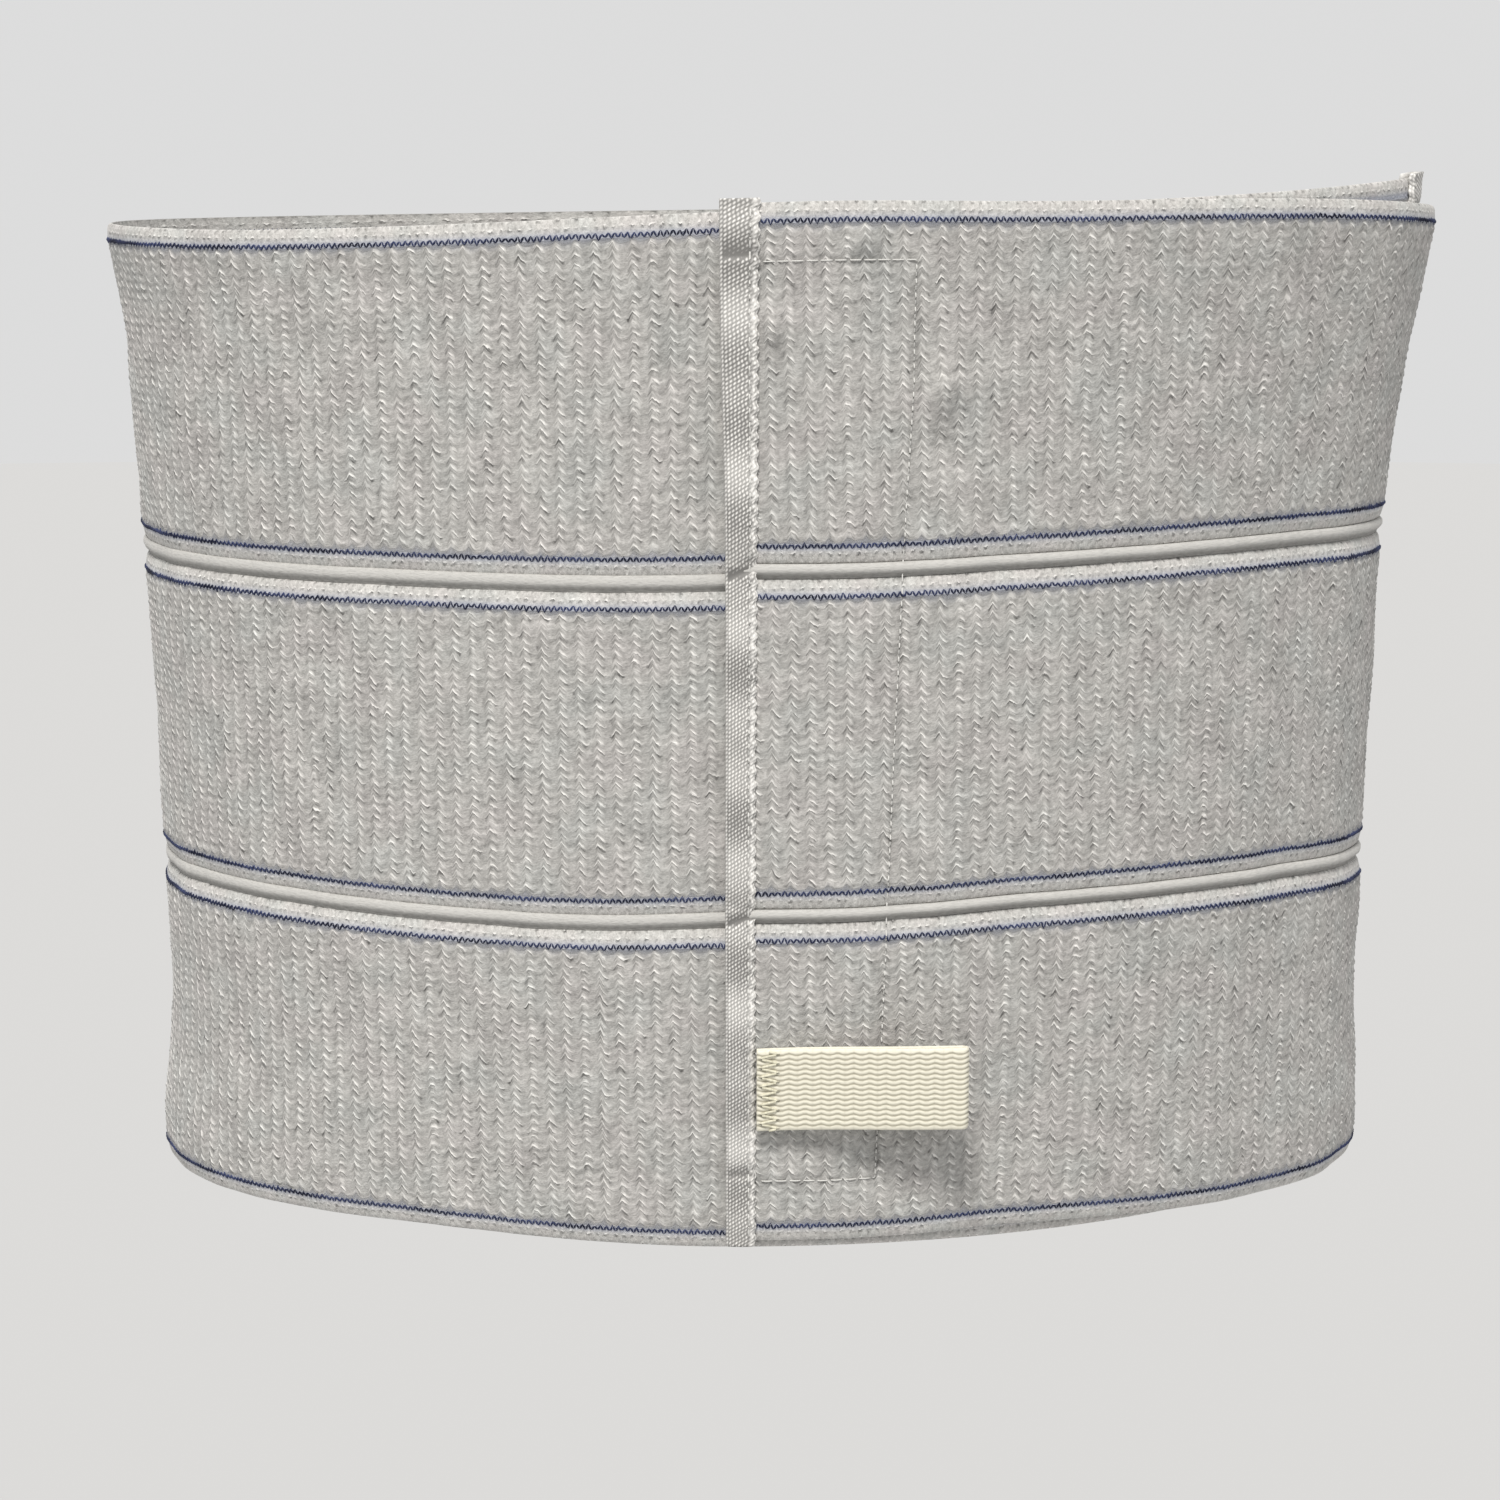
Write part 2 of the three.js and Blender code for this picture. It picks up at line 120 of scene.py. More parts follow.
hollow_sections = table(
    "up left right front back",
    (0, 1.012, 0.989, 1.008, 0.975),
    (0.05, 1.014, 0.996, 1.012, 0.968),
    (0.17, 0.999, 0.988, 1.025, 0.945),
    (0.33, 1.007, 0.994, 1.036, 0.932),
    (0.5, 1.016, 1.004, 1.038, 0.938),
    (0.67, 1.032, 1.016, 1.036, 0.955),
    (0.8, 1.045, 1.041, 1.034, 0.975),
    (0.9, 1.058, 1.067, 1.036, 0.99),
    (1, 1.09, 1.1, 1.042, 1.005),
)
ride_up = table(
    "turn top upper_seam lower_seam bottom",
    (-80, 0.031, 0.02, 0.014, 0.012),
    (-50, 0.009, 0.003, 0.003, 0.003),
    (-22, -0.001, -0.014, -0.006, -0.003),
    (5, -0.0066, -0.024, -0.0105, -0.0057),
    (20, -0.0122, -0.0262, -0.0153, -0.0035),
    (40, -0.02, -0.025, -0.013, 0.0022),
    (60, -0.024, -0.0245, -0.01, 0),
    (90, -0.0175, -0.02, -0.0105, -0.0052),
    (180, -0.005, -0.006, -0.004, 0),
    (270, -0.0026, 0, -0.007, 0.0044),
    (300, 0.006, 0.0022, 0.0044, 0.0035),
    (330, 0.0035, -0.0052, 0.0039, 0.0113),
    (350, 0.004, -0.0109, -0.0026, 0.0065),
    (366, 0.001, -0.0109, -0.0035, 0.0052),
)
panel_profile = table("down thick", (0, 0.6), (0.07, 1), (0.36, 1), (0.64, 1), (0.93, 1), (1, 0.6))
dents = table("turn down wide tall deep", (340.6, 0.17, 2, 0.022, -1.6), (340.4, 0.222, 2, 0.018, 0.4),
              (359.4, 0.112, 1.2, 0.018, -1.1), (349.5, 0.036, 1.5, 0.011, -0.7), (346, 0.52, 4, 0.1, 0.3))
end_lean = table("down turn", (0, 0.2), (0.1, 0.25), (0.3, 0.8), (0.6, 0.8), (1, 0.72))
lean_reach = 40
tape_widths = table("down tape strip", (0, 1, 1), (0.12, 0.94, 1.02), (0.32, 0.8, 0.97), (0.66, 0.76, 0.89),
                    (1, 0.78, 0.82))
tab_route = table("along stand", (0, 0), (0.12, 0), (0.35, 0.02), (0.7, 0.075), (1, 0.105))
print(len(hollow_sections["up"]), "sections and", len(dents["turn"]), "dents")


# %% Read a table on a smooth curve, or in eased steps from row to row
def along(rows, place, at, column):
    x, y = rows[place], rows[column]
    at = np.asarray(at, float)
    before = np.maximum(np.arange(len(x)) - 1, 0)
    after = np.minimum(np.arange(len(x)) + 1, len(x) - 1)
    slope = (y[after] - y[before]) / (x[after] - x[before])
    i = np.clip(np.searchsorted(x, at) - 1, 0, len(x) - 2)
    span = x[i + 1] - x[i]
    t = (at - x[i]) / span
    s = np.clip(t, 0, 1)
    from_low = (2 * s**3 - 3 * s**2 + 1) * y[i] + (s**3 - 2 * s**2 + s) * span * slope[i]
    from_high = (3 * s**2 - 2 * s**3) * y[i + 1] + (s**3 - s**2) * span * slope[i + 1]
    beyond = span * (slope[i] * np.minimum(t, 0) + slope[i + 1] * np.maximum(t - 1, 0))
    return from_low + from_high + beyond


def eased(t):
    t = np.clip(t, 0, 1)
    return t * t * (3 - 2 * t)


def eased_along(rows, place, at, column):
    x, y = rows[place], rows[column]
    i = np.clip(np.searchsorted(x, at) - 1, 0, len(x) - 2)
    return y[i] + (y[i + 1] - y[i]) * eased((at - x[i]) / (x[i + 1] - x[i]))


# %% Place a point by its turn, its drop and how far it stands off the hollow
def height_at(turn, drop):
    turn, drop = np.broadcast_arrays(np.asarray(turn, float), np.asarray(drop, float))
    edges = ("top", "upper_seam", "lower_seam", "bottom")
    rides = [along(ride_up, "turn", turn, edge) * band_height for edge in edges]
    drops = [0, seam_pitch - ridge_room / 2, 2 * seam_pitch - ridge_room / 2, band_height]

    def between(i):
        return rides[i] + (rides[i + 1] - rides[i]) * (drop - drops[i]) / (drops[i + 1] - drops[i])

    ride = np.where(drop <= drops[1], between(0), np.where(drop <= drops[2], between(1), between(2)))
    return band_height / 2 - drop + ride


def outline_point(turn, z):
    angle = np.radians(turn)
    up = z / band_height + 0.5
    leftward, frontward = np.sin(angle), np.cos(angle)
    sides = [along(hollow_sections, "up", up, side) for side in ("left", "right", "front", "back")]
    width = half_width * np.where(leftward > 0, sides[0], sides[1])
    depth = half_depth * np.where(frontward > 0, sides[2], sides[3])
    roundness = front_roundness + (back_roundness - front_roundness) * (1 - frontward) / 2
    total = (np.abs(leftward) / width) ** roundness + (np.abs(frontward) / depth) ** roundness
    radius = total ** (-1 / roundness)
    return np.stack([-radius * leftward, -radius * frontward], axis=-1)


def band_point(turn, drop, stand):
    turn, drop, stand = np.broadcast_arrays(*(np.asarray(value, float) for value in (turn, drop, stand)))
    lean = along(end_lean, "down", drop / band_height, "turn")
    turn = turn - lean * eased(1 + (turn - flap_end_turn) / lean_reach)
    z = height_at(turn, drop)
    here = outline_point(turn, z)
    run = outline_point(turn + 0.5, z) - outline_point(turn - 0.5, z)
    run /= np.linalg.norm(run, axis=-1, keepdims=True)
    reach = stand - panel_thickness
    return np.stack([here[..., 0] - run[..., 1] * reach, here[..., 1] + run[..., 0] * reach, z], axis=-1)


def turn_of(length, turn):
    """The turn that a length along the band takes up at a place"""
    run = outline_point(np.asarray(turn + 0.5), 0.0) - outline_point(np.asarray(turn - 0.5), 0.0)
    return length / np.linalg.norm(run)


print("the flap ends at", band_point(flap_end_turn, band_height / 2, 0).round(3))

# %% [markdown]
# The band's inside stands off the hollow by what lies under it: the fold of the tape at the very end,
# then nothing, then its own first end with the tape round it, then one layer, and at last the hook strip
# too. Its outside adds the panel's thickness, less where a tape squeezes it, and a slow ripple of a
# fraction of a millimetre, because stretched elastic is never a perfect cylinder.

# %% How far the inside and the outside stand off
tape_turn = turn_of(binding_width, underlap_end_turn)
strip_turn = turn_of(hook_strip_width + binding_width, flap_end_turn)
covered_end_turn = underlap_end_turn + 360
rise_turn = 15
stand_off = table(
    "turn stand",
    (underlap_end_turn, binding_stand),
    (underlap_end_turn + 1.2 * tape_turn, binding_stand),
    (underlap_end_turn + 3.5 * tape_turn, 0),
    (covered_end_turn - tape_turn - rise_turn, 0),
    (covered_end_turn - tape_turn, over_underlap_end),
    (covered_end_turn + 1.6 * tape_turn, over_underlap_end),
    (covered_end_turn + 5 * tape_turn, over_underlap),
    (flap_end_turn - strip_turn - 0.75 * rise_turn, over_underlap),
    (flap_end_turn - strip_turn, over_underlap + hook_strip_stand),
    (flap_end_turn, over_underlap + hook_strip_stand),
)
ripple_depth = 0.35 * mm
calm_start = 12
calm_end = 4
ripple_waves = table("round down lean", (31, 3.1, 0.4), (47, 5.3, 2.1), (22, 7.9, 4.4))


def inside_stand(turn):
    return eased_along(stand_off, "turn", turn, "stand")


def squeeze_at(turn):
    reach = turn_of(squeeze_length, underlap_end_turn)
    from_end = np.minimum(turn - underlap_end_turn, flap_end_turn - turn)
    return end_squeeze + (1 - end_squeeze) * eased(from_end / reach)


def dent_at(turn, drop):
    deep = 0
    for place, down, wide, tall, share in zip(*dents.values()):
        across, up = (turn - place) / wide, (drop / band_height - down) / tall
        deep = deep + share * panel_thickness * np.exp(-across**2 - up**2)
    return deep


def ripple_at(turn, drop):
    shown = eased((turn - calm_start) / calm_start)
    shown = shown * eased((flap_end_turn - calm_end - turn) / (2 * calm_end))
    waves = 0
    for round_count, down_count, lean in zip(*ripple_waves.values()):
        waves = waves + np.sin(np.radians(turn) * round_count + drop / band_height * down_count * 6 + lean)
    return ripple_depth * shown * waves / len(ripple_waves["lean"])


def cloth_stand(turn, drop, share):
    """Where a panel's outside stands, for a share of its full thickness"""
    body = inside_stand(turn) + panel_thickness * share * squeeze_at(turn)
    return body - dent_at(turn, drop) + ripple_at(turn, drop)


def panel_share(drop):
    return eased_along(panel_profile, "down", (drop % seam_pitch) / panel_height, "thick")


print(f"the flap's end stands off by {inside_stand(flap_end_turn) / mm:.1f} mm")

# %% Lengths along the band, measured at half height
turn_marks = np.arange(underlap_end_turn, flap_end_turn + 1, 0.25)
marks = outline_point(turn_marks, np.zeros_like(turn_marks))
length_marks = np.concatenate([[0], np.cumsum(np.linalg.norm(np.diff(marks, axis=0), axis=1))])


def length_at(turn):
    return np.interp(turn, turn_marks, length_marks)


def turn_at(length):
    return np.interp(length, length_marks, turn_marks)


band_length = float(length_at(flap_end_turn))
print(f"the worn band is {band_length:.3f} m long at half height")

# %% [markdown]
# ## One way to make every strip
#
# A panel, a ridge, a tape, a thread and a webbing are all the same kind of thing: a closed outline
# carried along a path. Blender's grid operator makes the net of faces in one go. Its last column is
# welded to its first, so that the net becomes a sleeve, its corners are moved to their places, and its
# two ends are filled. A line of corners can be kept sharp, so that the light on a thin rim doesn't spread
# over the broad face beside it.


# %% A sleeve through rows of rings
def sleeve(name, rings, sharp_corners=(), **measures):
    count, corners = rings.shape[:2]
    bm = bmesh.new()
    bmesh.ops.create_grid(bm, x_segments=corners, y_segments=count - 1, size=1)
    bm.verts.ensure_lookup_table()
    width = corners + 1
    joined = {bm.verts[i * width + corners]: bm.verts[i * width] for i in range(count)}
    bmesh.ops.weld_verts(bm, targetmap=joined)
    for vert, place in zip(bm.verts, rings.reshape(-1, 3)):
        vert.co = place
    bmesh.ops.edgeloop_fill(bm, edges=[edge for edge in bm.edges if edge.is_boundary])
    bmesh.ops.recalc_face_normals(bm, faces=bm.faces)
    bm.verts.ensure_lookup_table()
    for corner in sharp_corners:
        line = [bm.verts[i * corners + corner] for i in range(count)]
        for ends in zip(line, line[1:]):
            bm.edges.get(ends).smooth = False
    mesh = bpy.data.meshes.new(name)
    bm.to_mesh(mesh)
    bm.free()
    mesh.polygons.foreach_set("use_smooth", [True] * len(mesh.polygons))
    for label, values in measures.items():
        vector = values.ndim == 3
        layer = mesh.attributes.new(label, "FLOAT_VECTOR" if vector else "FLOAT", "POINT")
        numbers = np.ascontiguousarray(values, dtype=float).ravel()
        layer.data.foreach_set("vector" if vector else "value", numbers)
    piece = bpy.data.objects.new(name, mesh)
    bpy.context.collection.objects.link(piece)
    print(f"{name}: {sum(len(face.vertices) - 2 for face in mesh.polygons)} triangles")
    return piece


# %% Dressing a piece, the places on it, and rings round a thread
def put_on(piece, slot, material, *nodes):
    """Dress a piece, let it ride with the binder and let it stand for its solids"""
    piece.data.materials.append(material)
    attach(piece, "root")
    if nodes:
        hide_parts(*nodes)


def places(rings, lengthwise, crosswise):
    """The place of every corner, in metres along its strip and across it"""
    place = np.zeros(rings.shape)
    place[..., 0], place[..., 1] = lengthwise, crosswise
    return place


def cord_rings(path, radius, sides):
    """Rings of a thread round a path; up is tipped by a hair, or an upright thread would have no side"""
    ahead = np.gradient(path, axis=0)
    ahead /= np.linalg.norm(ahead, axis=1, keepdims=True)
    nearly_up = np.array([1e-6, 1e-6, 1.0])
    side = np.cross(ahead, nearly_up)
    side /= np.linalg.norm(side, axis=1, keepdims=True)
    over = np.cross(side, ahead)
    angles = np.arange(sides) * 2 * math.pi / sides
    ring = np.cos(angles)[:, None] * side[:, None] + np.sin(angles)[:, None] * over[:, None]
    return path[:, None] + radius * ring


# %% [markdown]
# ## Materials
#
# Cloth scatters light from many fibres, so every finish here is rough, with a little sheen. What shows as
# colour in a knit is mostly shade in its grooves, and the finishes paint that shade into the colour. Each
# strip carries measures in its mesh: its place, in metres along and down the cloth, and its relief, from 0
# in a groove to about 1 on a crest. The relief is also the painted shading: grooves are painted darker as
# shade and crests lighter as highlights. The finishes read these, so that yarns follow the cloth wherever
# it goes.


# %% Small helpers for shader nodes
def new_finish(name, colour, roughness, sheen):
    material = bpy.data.materials.new(name)
    material.use_nodes = True
    shader = material.node_tree.nodes["Principled BSDF"]
    shader.inputs["Base Color"].default_value = (*colour, 1)
    shader.inputs["Roughness"].default_value = roughness
    shader.inputs["Sheen Weight"].default_value = sheen
    shader.inputs["Sheen Roughness"].default_value = 0.5
    shader.inputs["Specular IOR Level"].default_value = 0.25
    return material, shader


def node(tree, kind, settings=None, **inputs):
    made = tree.nodes.new(kind)
    for setting, value in (settings or {}).items():
        setattr(made, setting, value)
    for label, value in inputs.items():
        numbered = label[0] == "i" and label[1:].isdigit()
        socket = made.inputs[int(label[1:]) if numbered else label]
        if isinstance(value, bpy.types.NodeSocket):
            tree.links.new(value, socket)
        else:
            socket.default_value = value
    return made.outputs[0]


def measure(tree, name, vector=False):
    made = tree.nodes.new("ShaderNodeAttribute")
    made.attribute_name = name
    return made.outputs["Vector" if vector else "Fac"]


def maths(tree, operation, first, second=0.0, third=0.0):
    return node(tree, "ShaderNodeMath", {"operation": operation}, i0=first, i1=second, i2=third)


# %% Helpers for colours, noise and bumps
def shades(tree, place, *stops):
    """Colours blended by a number from 0 to 1"""
    ramp = tree.nodes.new("ShaderNodeValToRGB")
    tree.links.new(place, ramp.inputs[0])
    while len(ramp.color_ramp.elements) < len(stops):
        ramp.color_ramp.elements.new(1)
    for element, (position, colour) in zip(ramp.color_ramp.elements, stops):
        element.position = position
        element.color = (*colour, 1)
    return ramp.outputs[0]


def curve(tree, place, *stops):
    """A number that follows straight lines between stops, each a place from 0 to 1 and a value"""
    return shades(tree, place, *((at, (value, value, value)) for at, value in stops))


def scaled_place(tree, per_metre):
    """The place on the cloth, stretched to so many steps a metre each way"""
    return node(tree, "ShaderNodeVectorMath", {"operation": "MULTIPLY"}, i0=measure(tree, "place", True),
                i1=per_metre)


def noise(tree, per_metre, detail=3.0):
    return node(tree, "ShaderNodeTexNoise", Vector=scaled_place(tree, per_metre), Scale=1.0, Detail=detail,
                Roughness=0.6)


def mixed(tree, share, first, second, blend="MIX"):
    made = tree.nodes.new("ShaderNodeMix")
    made.data_type, made.blend_type = "RGBA", blend
    for socket, value in ((made.inputs[0], share), (made.inputs[6], first), (made.inputs[7], second)):
        if isinstance(value, bpy.types.NodeSocket):
            tree.links.new(value, socket)
        else:
            socket.default_value = value
    return made.outputs[2]


def bump(tree, shader, height, depth, strength=1.0):
    made = tree.nodes.new("ShaderNodeBump")
    made.inputs["Strength"].default_value = strength
    made.inputs["Distance"].default_value = depth
    tree.links.new(height, made.inputs["Height"])
    tree.links.new(made.outputs[0], shader.inputs["Normal"])


# %% [markdown]
# Each course of the knit shows as a short bright stroke with a dark gap under it, on one side of every
# chevron: the one that falls, read from left to right. The stroke is a painted highlight, as from a light
# above, and the gap under it a painted shadow; a narrow painted shade runs between the wales too. Both
# also raise a bump. The rest of the loop lies flat. The finish draws these strokes along the same courses
# and wales as the net, shakes them a little, and lets a slow noise weaken some of them, because no two
# loops pull alike. On the inside the same rows show more evenly. Beside each navy line the thread
# underneath shows through as pale blue.

# %% Knitted elastic
wale_width = 4.1 * mm
course_height = 2.0 * mm
chevron_rise = 1.5 * mm
knit_margin = 5 * mm
# Knit colours: painted shade for grooves and the gaps under strokes, the face, and painted highlight for
# strokes and crests
knit_painted_shade = (0.115, 0.112, 0.107)
knit_face = (0.4, 0.391, 0.374)
knit_painted_highlight = (0.8, 0.783, 0.752)
thread_shine_through = (0.26, 0.31, 0.46, 1)
print(f"{1 / wale_width:.0f} wales and {1 / course_height:.0f} courses to a metre")


def knit_finish():
    material, shader = new_finish("knit_finish", knit_face, 0.95, 0.08)
    tree = material.node_tree
    parts = tree.nodes.new("ShaderNodeSeparateXYZ")
    tree.links.new(measure(tree, "place", True), parts.inputs[0])
    relief, blueness = measure(tree, "relief"), measure(tree, "blueness")
    shake, slip = noise(tree, (620, 500, 1), 2.0), noise(tree, (120, 430, 1), 1.0)
    along_wale = maths(tree, "MULTIPLY_ADD", parts.outputs[0], 1 / wale_width,
                       maths(tree, "MULTIPLY_ADD", slip, 0.8, maths(tree, "MULTIPLY_ADD", shake, 0.5, -0.65)))
    down_course = maths(tree, "MULTIPLY_ADD", parts.outputs[1], 1 / course_height,
                        maths(tree, "MULTIPLY_ADD", shake, 0.8, -0.18))
    down = maths(tree, "FRACT", down_course)
    # Down each course: a painted highlight for the stroke, then a painted shadow under it; the same tone is a
    # bump
    stroke_bump_and_painted_light = curve(tree, down, (0, 0.2), (0.12, 0.46), (0.45, 0.56), (0.57, 1.02), (0.66, 1.02), (0.76, 0.05),
                   (0.93, 0), (1, 0.2))
    across = maths(tree, "FRACT", along_wale)
    limb = curve(tree, across, (0, 0.8), (0.08, 0.4), (0.2, 0.1), (0.55, 0.08), (0.66, 0.6), (0.75, 1),
                 (0.94, 1), (1, 0.8))
    # Painted shade between the wales, also a bump
    between_wales_bump_and_painted_shade = curve(tree, across, (0, 0.9), (0.05, 1), (0.11, 1), (0.2, 0), (0.93, 0), (1, 0.9))
    strength = curve(tree, noise(tree, (240, 420, 1), 2.0), (0.37, 0.05), (0.7, 1))
    weight = maths(tree, "MULTIPLY", limb, strength)
    tone = maths(tree, "MULTIPLY_ADD", maths(tree, "SUBTRACT", stroke_bump_and_painted_light, 0.5), weight, 0.5)
    tone = maths(tree, "MULTIPLY_ADD", maths(tree, "MULTIPLY", between_wales_bump_and_painted_shade, strength), -0.14, tone)
    blotches = noise(tree, (110, 150, 1), 4.0)
    mottle = noise(tree, (560, 760, 1), 2.0)
    fibres = noise(tree, (1700, 2600, 1))
    soft = maths(tree, "MULTIPLY_ADD", blotches, 0.32, maths(tree, "MULTIPLY_ADD", fibres, 0.42, -0.65))
    soft = maths(tree, "MULTIPLY_ADD", mottle, 0.52, soft)
    # The relief measure adds painted shade in grooves and painted light on crests
    soft = maths(tree, "MULTIPLY_ADD", relief, 0.25, soft)
    lit = maths(tree, "MULTIPLY_ADD", tone, 0.85, soft)
    # Colour by tone: painted shade, the face colour, painted highlight
    cloth = shades(tree, lit, (0.08, knit_painted_shade), (0.45, knit_face), (0.9, knit_painted_highlight))
    drift = shades(tree, noise(tree, (60, 75, 1), 1.0), (0.32, (0.975, 0.995, 1)), (0.5, (1, 1, 1)),
                   (0.68, (1, 0.984, 0.992)))
    cloth = mixed(tree, 1.0, cloth, drift, "MULTIPLY")
    cloth = mixed(tree, maths(tree, "MULTIPLY", blueness, 0.5), cloth, thread_shine_through)
    tree.links.new(cloth, shader.inputs["Base Color"])
    rough = maths(tree, "MULTIPLY_ADD", fibres, 0.5, maths(tree, "MULTIPLY", mottle, 0.7))
    bump(tree, shader, maths(tree, "ADD", rough, tone), 0.35 * mm, 0.85)
    return material


knit = knit_finish()


# %% [markdown]
# The other yarns are simpler. The ridge is smooth filament yarn, the tape a satin twill with tiny bright
# floats, the webbing cream with slack ribs, and the threads are spun, so each gets its own fine bump. Each
# runs from a dark colour to a light one by its relief measure, which paints shade and light: the ridge's
# lower side and the webbing's grooves darker, the ridge's upper side and the tape's floats lighter.

# %% Ridge yarn, satin tape, hook strip, webbing and threads
def yarn_finish(name, dark, light, roughness, sheen, steps, depth, relief_share=0.6):
    material, shader = new_finish(name, light, roughness, sheen)
    tree = material.node_tree
    fibres = noise(tree, steps)
    # Painted shading: the dark end where the relief measure is low, the light end where it is high, mixed
    # with fibre noise
    shade = maths(tree, "MULTIPLY_ADD", measure(tree, "relief"), relief_share,
                  maths(tree, "MULTIPLY", fibres, 1 - relief_share))
    tree.links.new(shades(tree, shade, (0.15, dark), (0.75, light)), shader.inputs["Base Color"])
    bump(tree, shader, fibres, depth, 0.6)
    return material


# For the ridge, the tape and the webbing the dark end is painted shade and the light end painted light
ridge_yarn = yarn_finish("ridge_yarn_finish", (0.17, 0.166, 0.157), (0.52, 0.51, 0.487), 0.85, 0.08,
                         (700, 2000, 1), 0.34 * mm, 0.48)
satin_tape = yarn_finish("satin_tape_finish", (0.19, 0.185, 0.177), (0.93, 0.91, 0.875), 0.5, 0.05,
                         (1500, 1500, 1), 0.12 * mm, 0.8)
webbing = yarn_finish("webbing_finish", (0.36, 0.335, 0.26), (0.76, 0.73, 0.615), 0.75, 0.08,
                      (400, 2600, 1), 0.12 * mm, 0.8)
hook_cloth = yarn_finish("hook_cloth_finish", (0.4, 0.4, 0.38), (0.6, 0.6, 0.58), 0.8, 0.05, (900, 900, 1),
                         0.3 * mm, 0.0)
navy_thread = yarn_finish("navy_thread_finish", (0.003, 0.005, 0.022), (0.045, 0.06, 0.15), 0.75, 0.05,
                          (900, 900, 1), 0.05 * mm, 0.7)
white_thread = yarn_finish("white_thread_finish", (0.42, 0.415, 0.4), (0.74, 0.73, 0.7), 0.7, 0.1,
                           (3000, 3000, 1), 0.05 * mm, 0.3)
cream_thread = yarn_finish("cream_thread_finish", (0.3, 0.28, 0.2), (0.8, 0.77, 0.62), 0.7, 0.1,
                           (1200, 1200, 1), 0.05 * mm, 0.2)
print("finishes:", [m.name for m in bpy.data.materials if m.name.endswith("_finish")])

# %% [markdown]
# ## The knitted panels
#
# Warp-knitted elastic shows rows of chevrons: each course climbs one side of a wale and falls down the
# other, and the limb that falls, read from left to right, is the plumper one. A bump on a plain wall would
# do from far away. From close by the loops throw shade, so the net's rows are laid along that zigzag,
# three to a course, and the relief is real and follows the yarn. Each wale has four columns. The hidden
# start of the band, under the flap, needs no relief, so its columns are a wale apart. The rims are plain
# selvedges with a rounded edge and small ribs.

# %% Where the hidden hook strip is sewn on
stitch_pitch = 3 * mm
side_seam = 1.5 * mm
bottom_seam = 1 * mm
strip_top = hook_strip_top_margin + side_seam
strip_bottom = band_height - hook_strip_bottom_margin - bottom_seam
sewn_reach = 1 * mm


def tape_width(drop):
    return binding_width * along(tape_widths, "down", drop / band_height, "tape")


def strip_side(drop):
    """Length along the band of the strip's far edge"""
    width = hook_strip_width * along(tape_widths, "down", drop / band_height, "strip")
    return band_length + binding_stand - tape_width(drop) - width + side_seam


def sewn_at(length, drop):
    """How much the strip's stitching pulls the flap in, from 0 to 1"""
    side = strip_side(drop)
    beside = np.exp(-(((length - side) / sewn_reach) ** 2)) * (drop > strip_top) * (drop < strip_bottom)
    beside = beside * (0.7 + 0.3 * np.cos(drop / stitch_pitch * 2 * math.pi))
    row_distance = np.minimum(abs(drop - strip_top), abs(drop - strip_bottom))
    across = np.exp(-((row_distance / sewn_reach) ** 2)) * (length > side)
    return np.maximum(beside, across * (0.7 + 0.3 * np.cos(length / stitch_pitch * 2 * math.pi)))


print(f"the strip is sewn from {strip_top / mm:.1f} to {strip_bottom / mm:.1f} mm down")


# %% Columns round the band
seed = np.random.default_rng(7)
knit_start_turn = 0
knit_start = float(length_at(knit_start_turn))
wale_count = int((band_length - knit_start) / wale_width)
column_shares = np.array([0, 0.2, 0.6, 0.82])
column_zigzag = np.array([-1, 0.5, 1, 0])
column_plump = np.array([0.7, 0.1, 0.2, 1])
hidden_lengths = np.linspace(0, knit_start, int(knit_start / wale_width) + 1)[:-1]
knit_lengths = (knit_start + (np.arange(wale_count)[:, None] + column_shares) * wale_width).ravel()
column_lengths = np.concatenate([hidden_lengths, knit_lengths, [band_length]])
column_turns = turn_at(column_lengths)


def round_band(shown):
    """Values for the knitted columns, with nothing on the hidden start and the very end"""
    return np.concatenate([np.zeros(len(hidden_lengths)), shown, [0]])


knitted = round_band(np.ones(len(knit_lengths)))
zigzag = round_band(np.tile(column_zigzag, wale_count))
plump = round_band(np.tile(column_plump, wale_count))

# %% Rows down a panel: a rim, the courses and a rim outside, and a few rows inside
edge_line = 3.8 * mm
fade_reach = 2 * mm
rim = table("drop share", (0, 0.2), (0.12, 0.55), (0.45, 0.82), (1.1, 1), (1.9, 1), (2.7, 1), (3.3, 0.97),
            (3.8, 0.9), (4.3, 0.96))
course_crest = np.array([0, 0.62, 1])
row_step = course_height / len(course_crest)
knit_rows = np.arange(knit_margin, panel_height - knit_margin, row_step)
row_drops = np.concatenate([rim["drop"] * mm, knit_rows, panel_height - rim["drop"][::-1] * mm])
row_shares = np.concatenate([rim["share"], np.ones(len(knit_rows)), rim["share"][::-1]])
plain_rim = np.zeros(len(rim["drop"]), int)
row_in_course = np.concatenate([plain_rim, np.arange(len(knit_rows)) % len(course_crest), plain_rim])
row_knitted = np.concatenate([plain_rim, np.ones(len(knit_rows)), plain_rim])
inner_margin = 0.1 * mm
inner_row_count = 4
inner_drops = panel_height - np.linspace(inner_margin, panel_height - inner_margin, inner_row_count)
print(len(column_turns), "columns,", len(row_drops) + len(inner_drops), "rows")


# %% One panel
knit_depth = 0.42 * mm
sewn_depth = 0.28 * mm
rim_rib_depth = 0.05 * mm
least_rim = 0.3 * mm
inside_clearance = 0.02 * mm
wale_slip = 0.24 * mm
loop_unevenness = 0.17
blotch_round, blotch_down = 210, 330
blue_reach = 0.9 * mm
wales_to_next_panel = 300


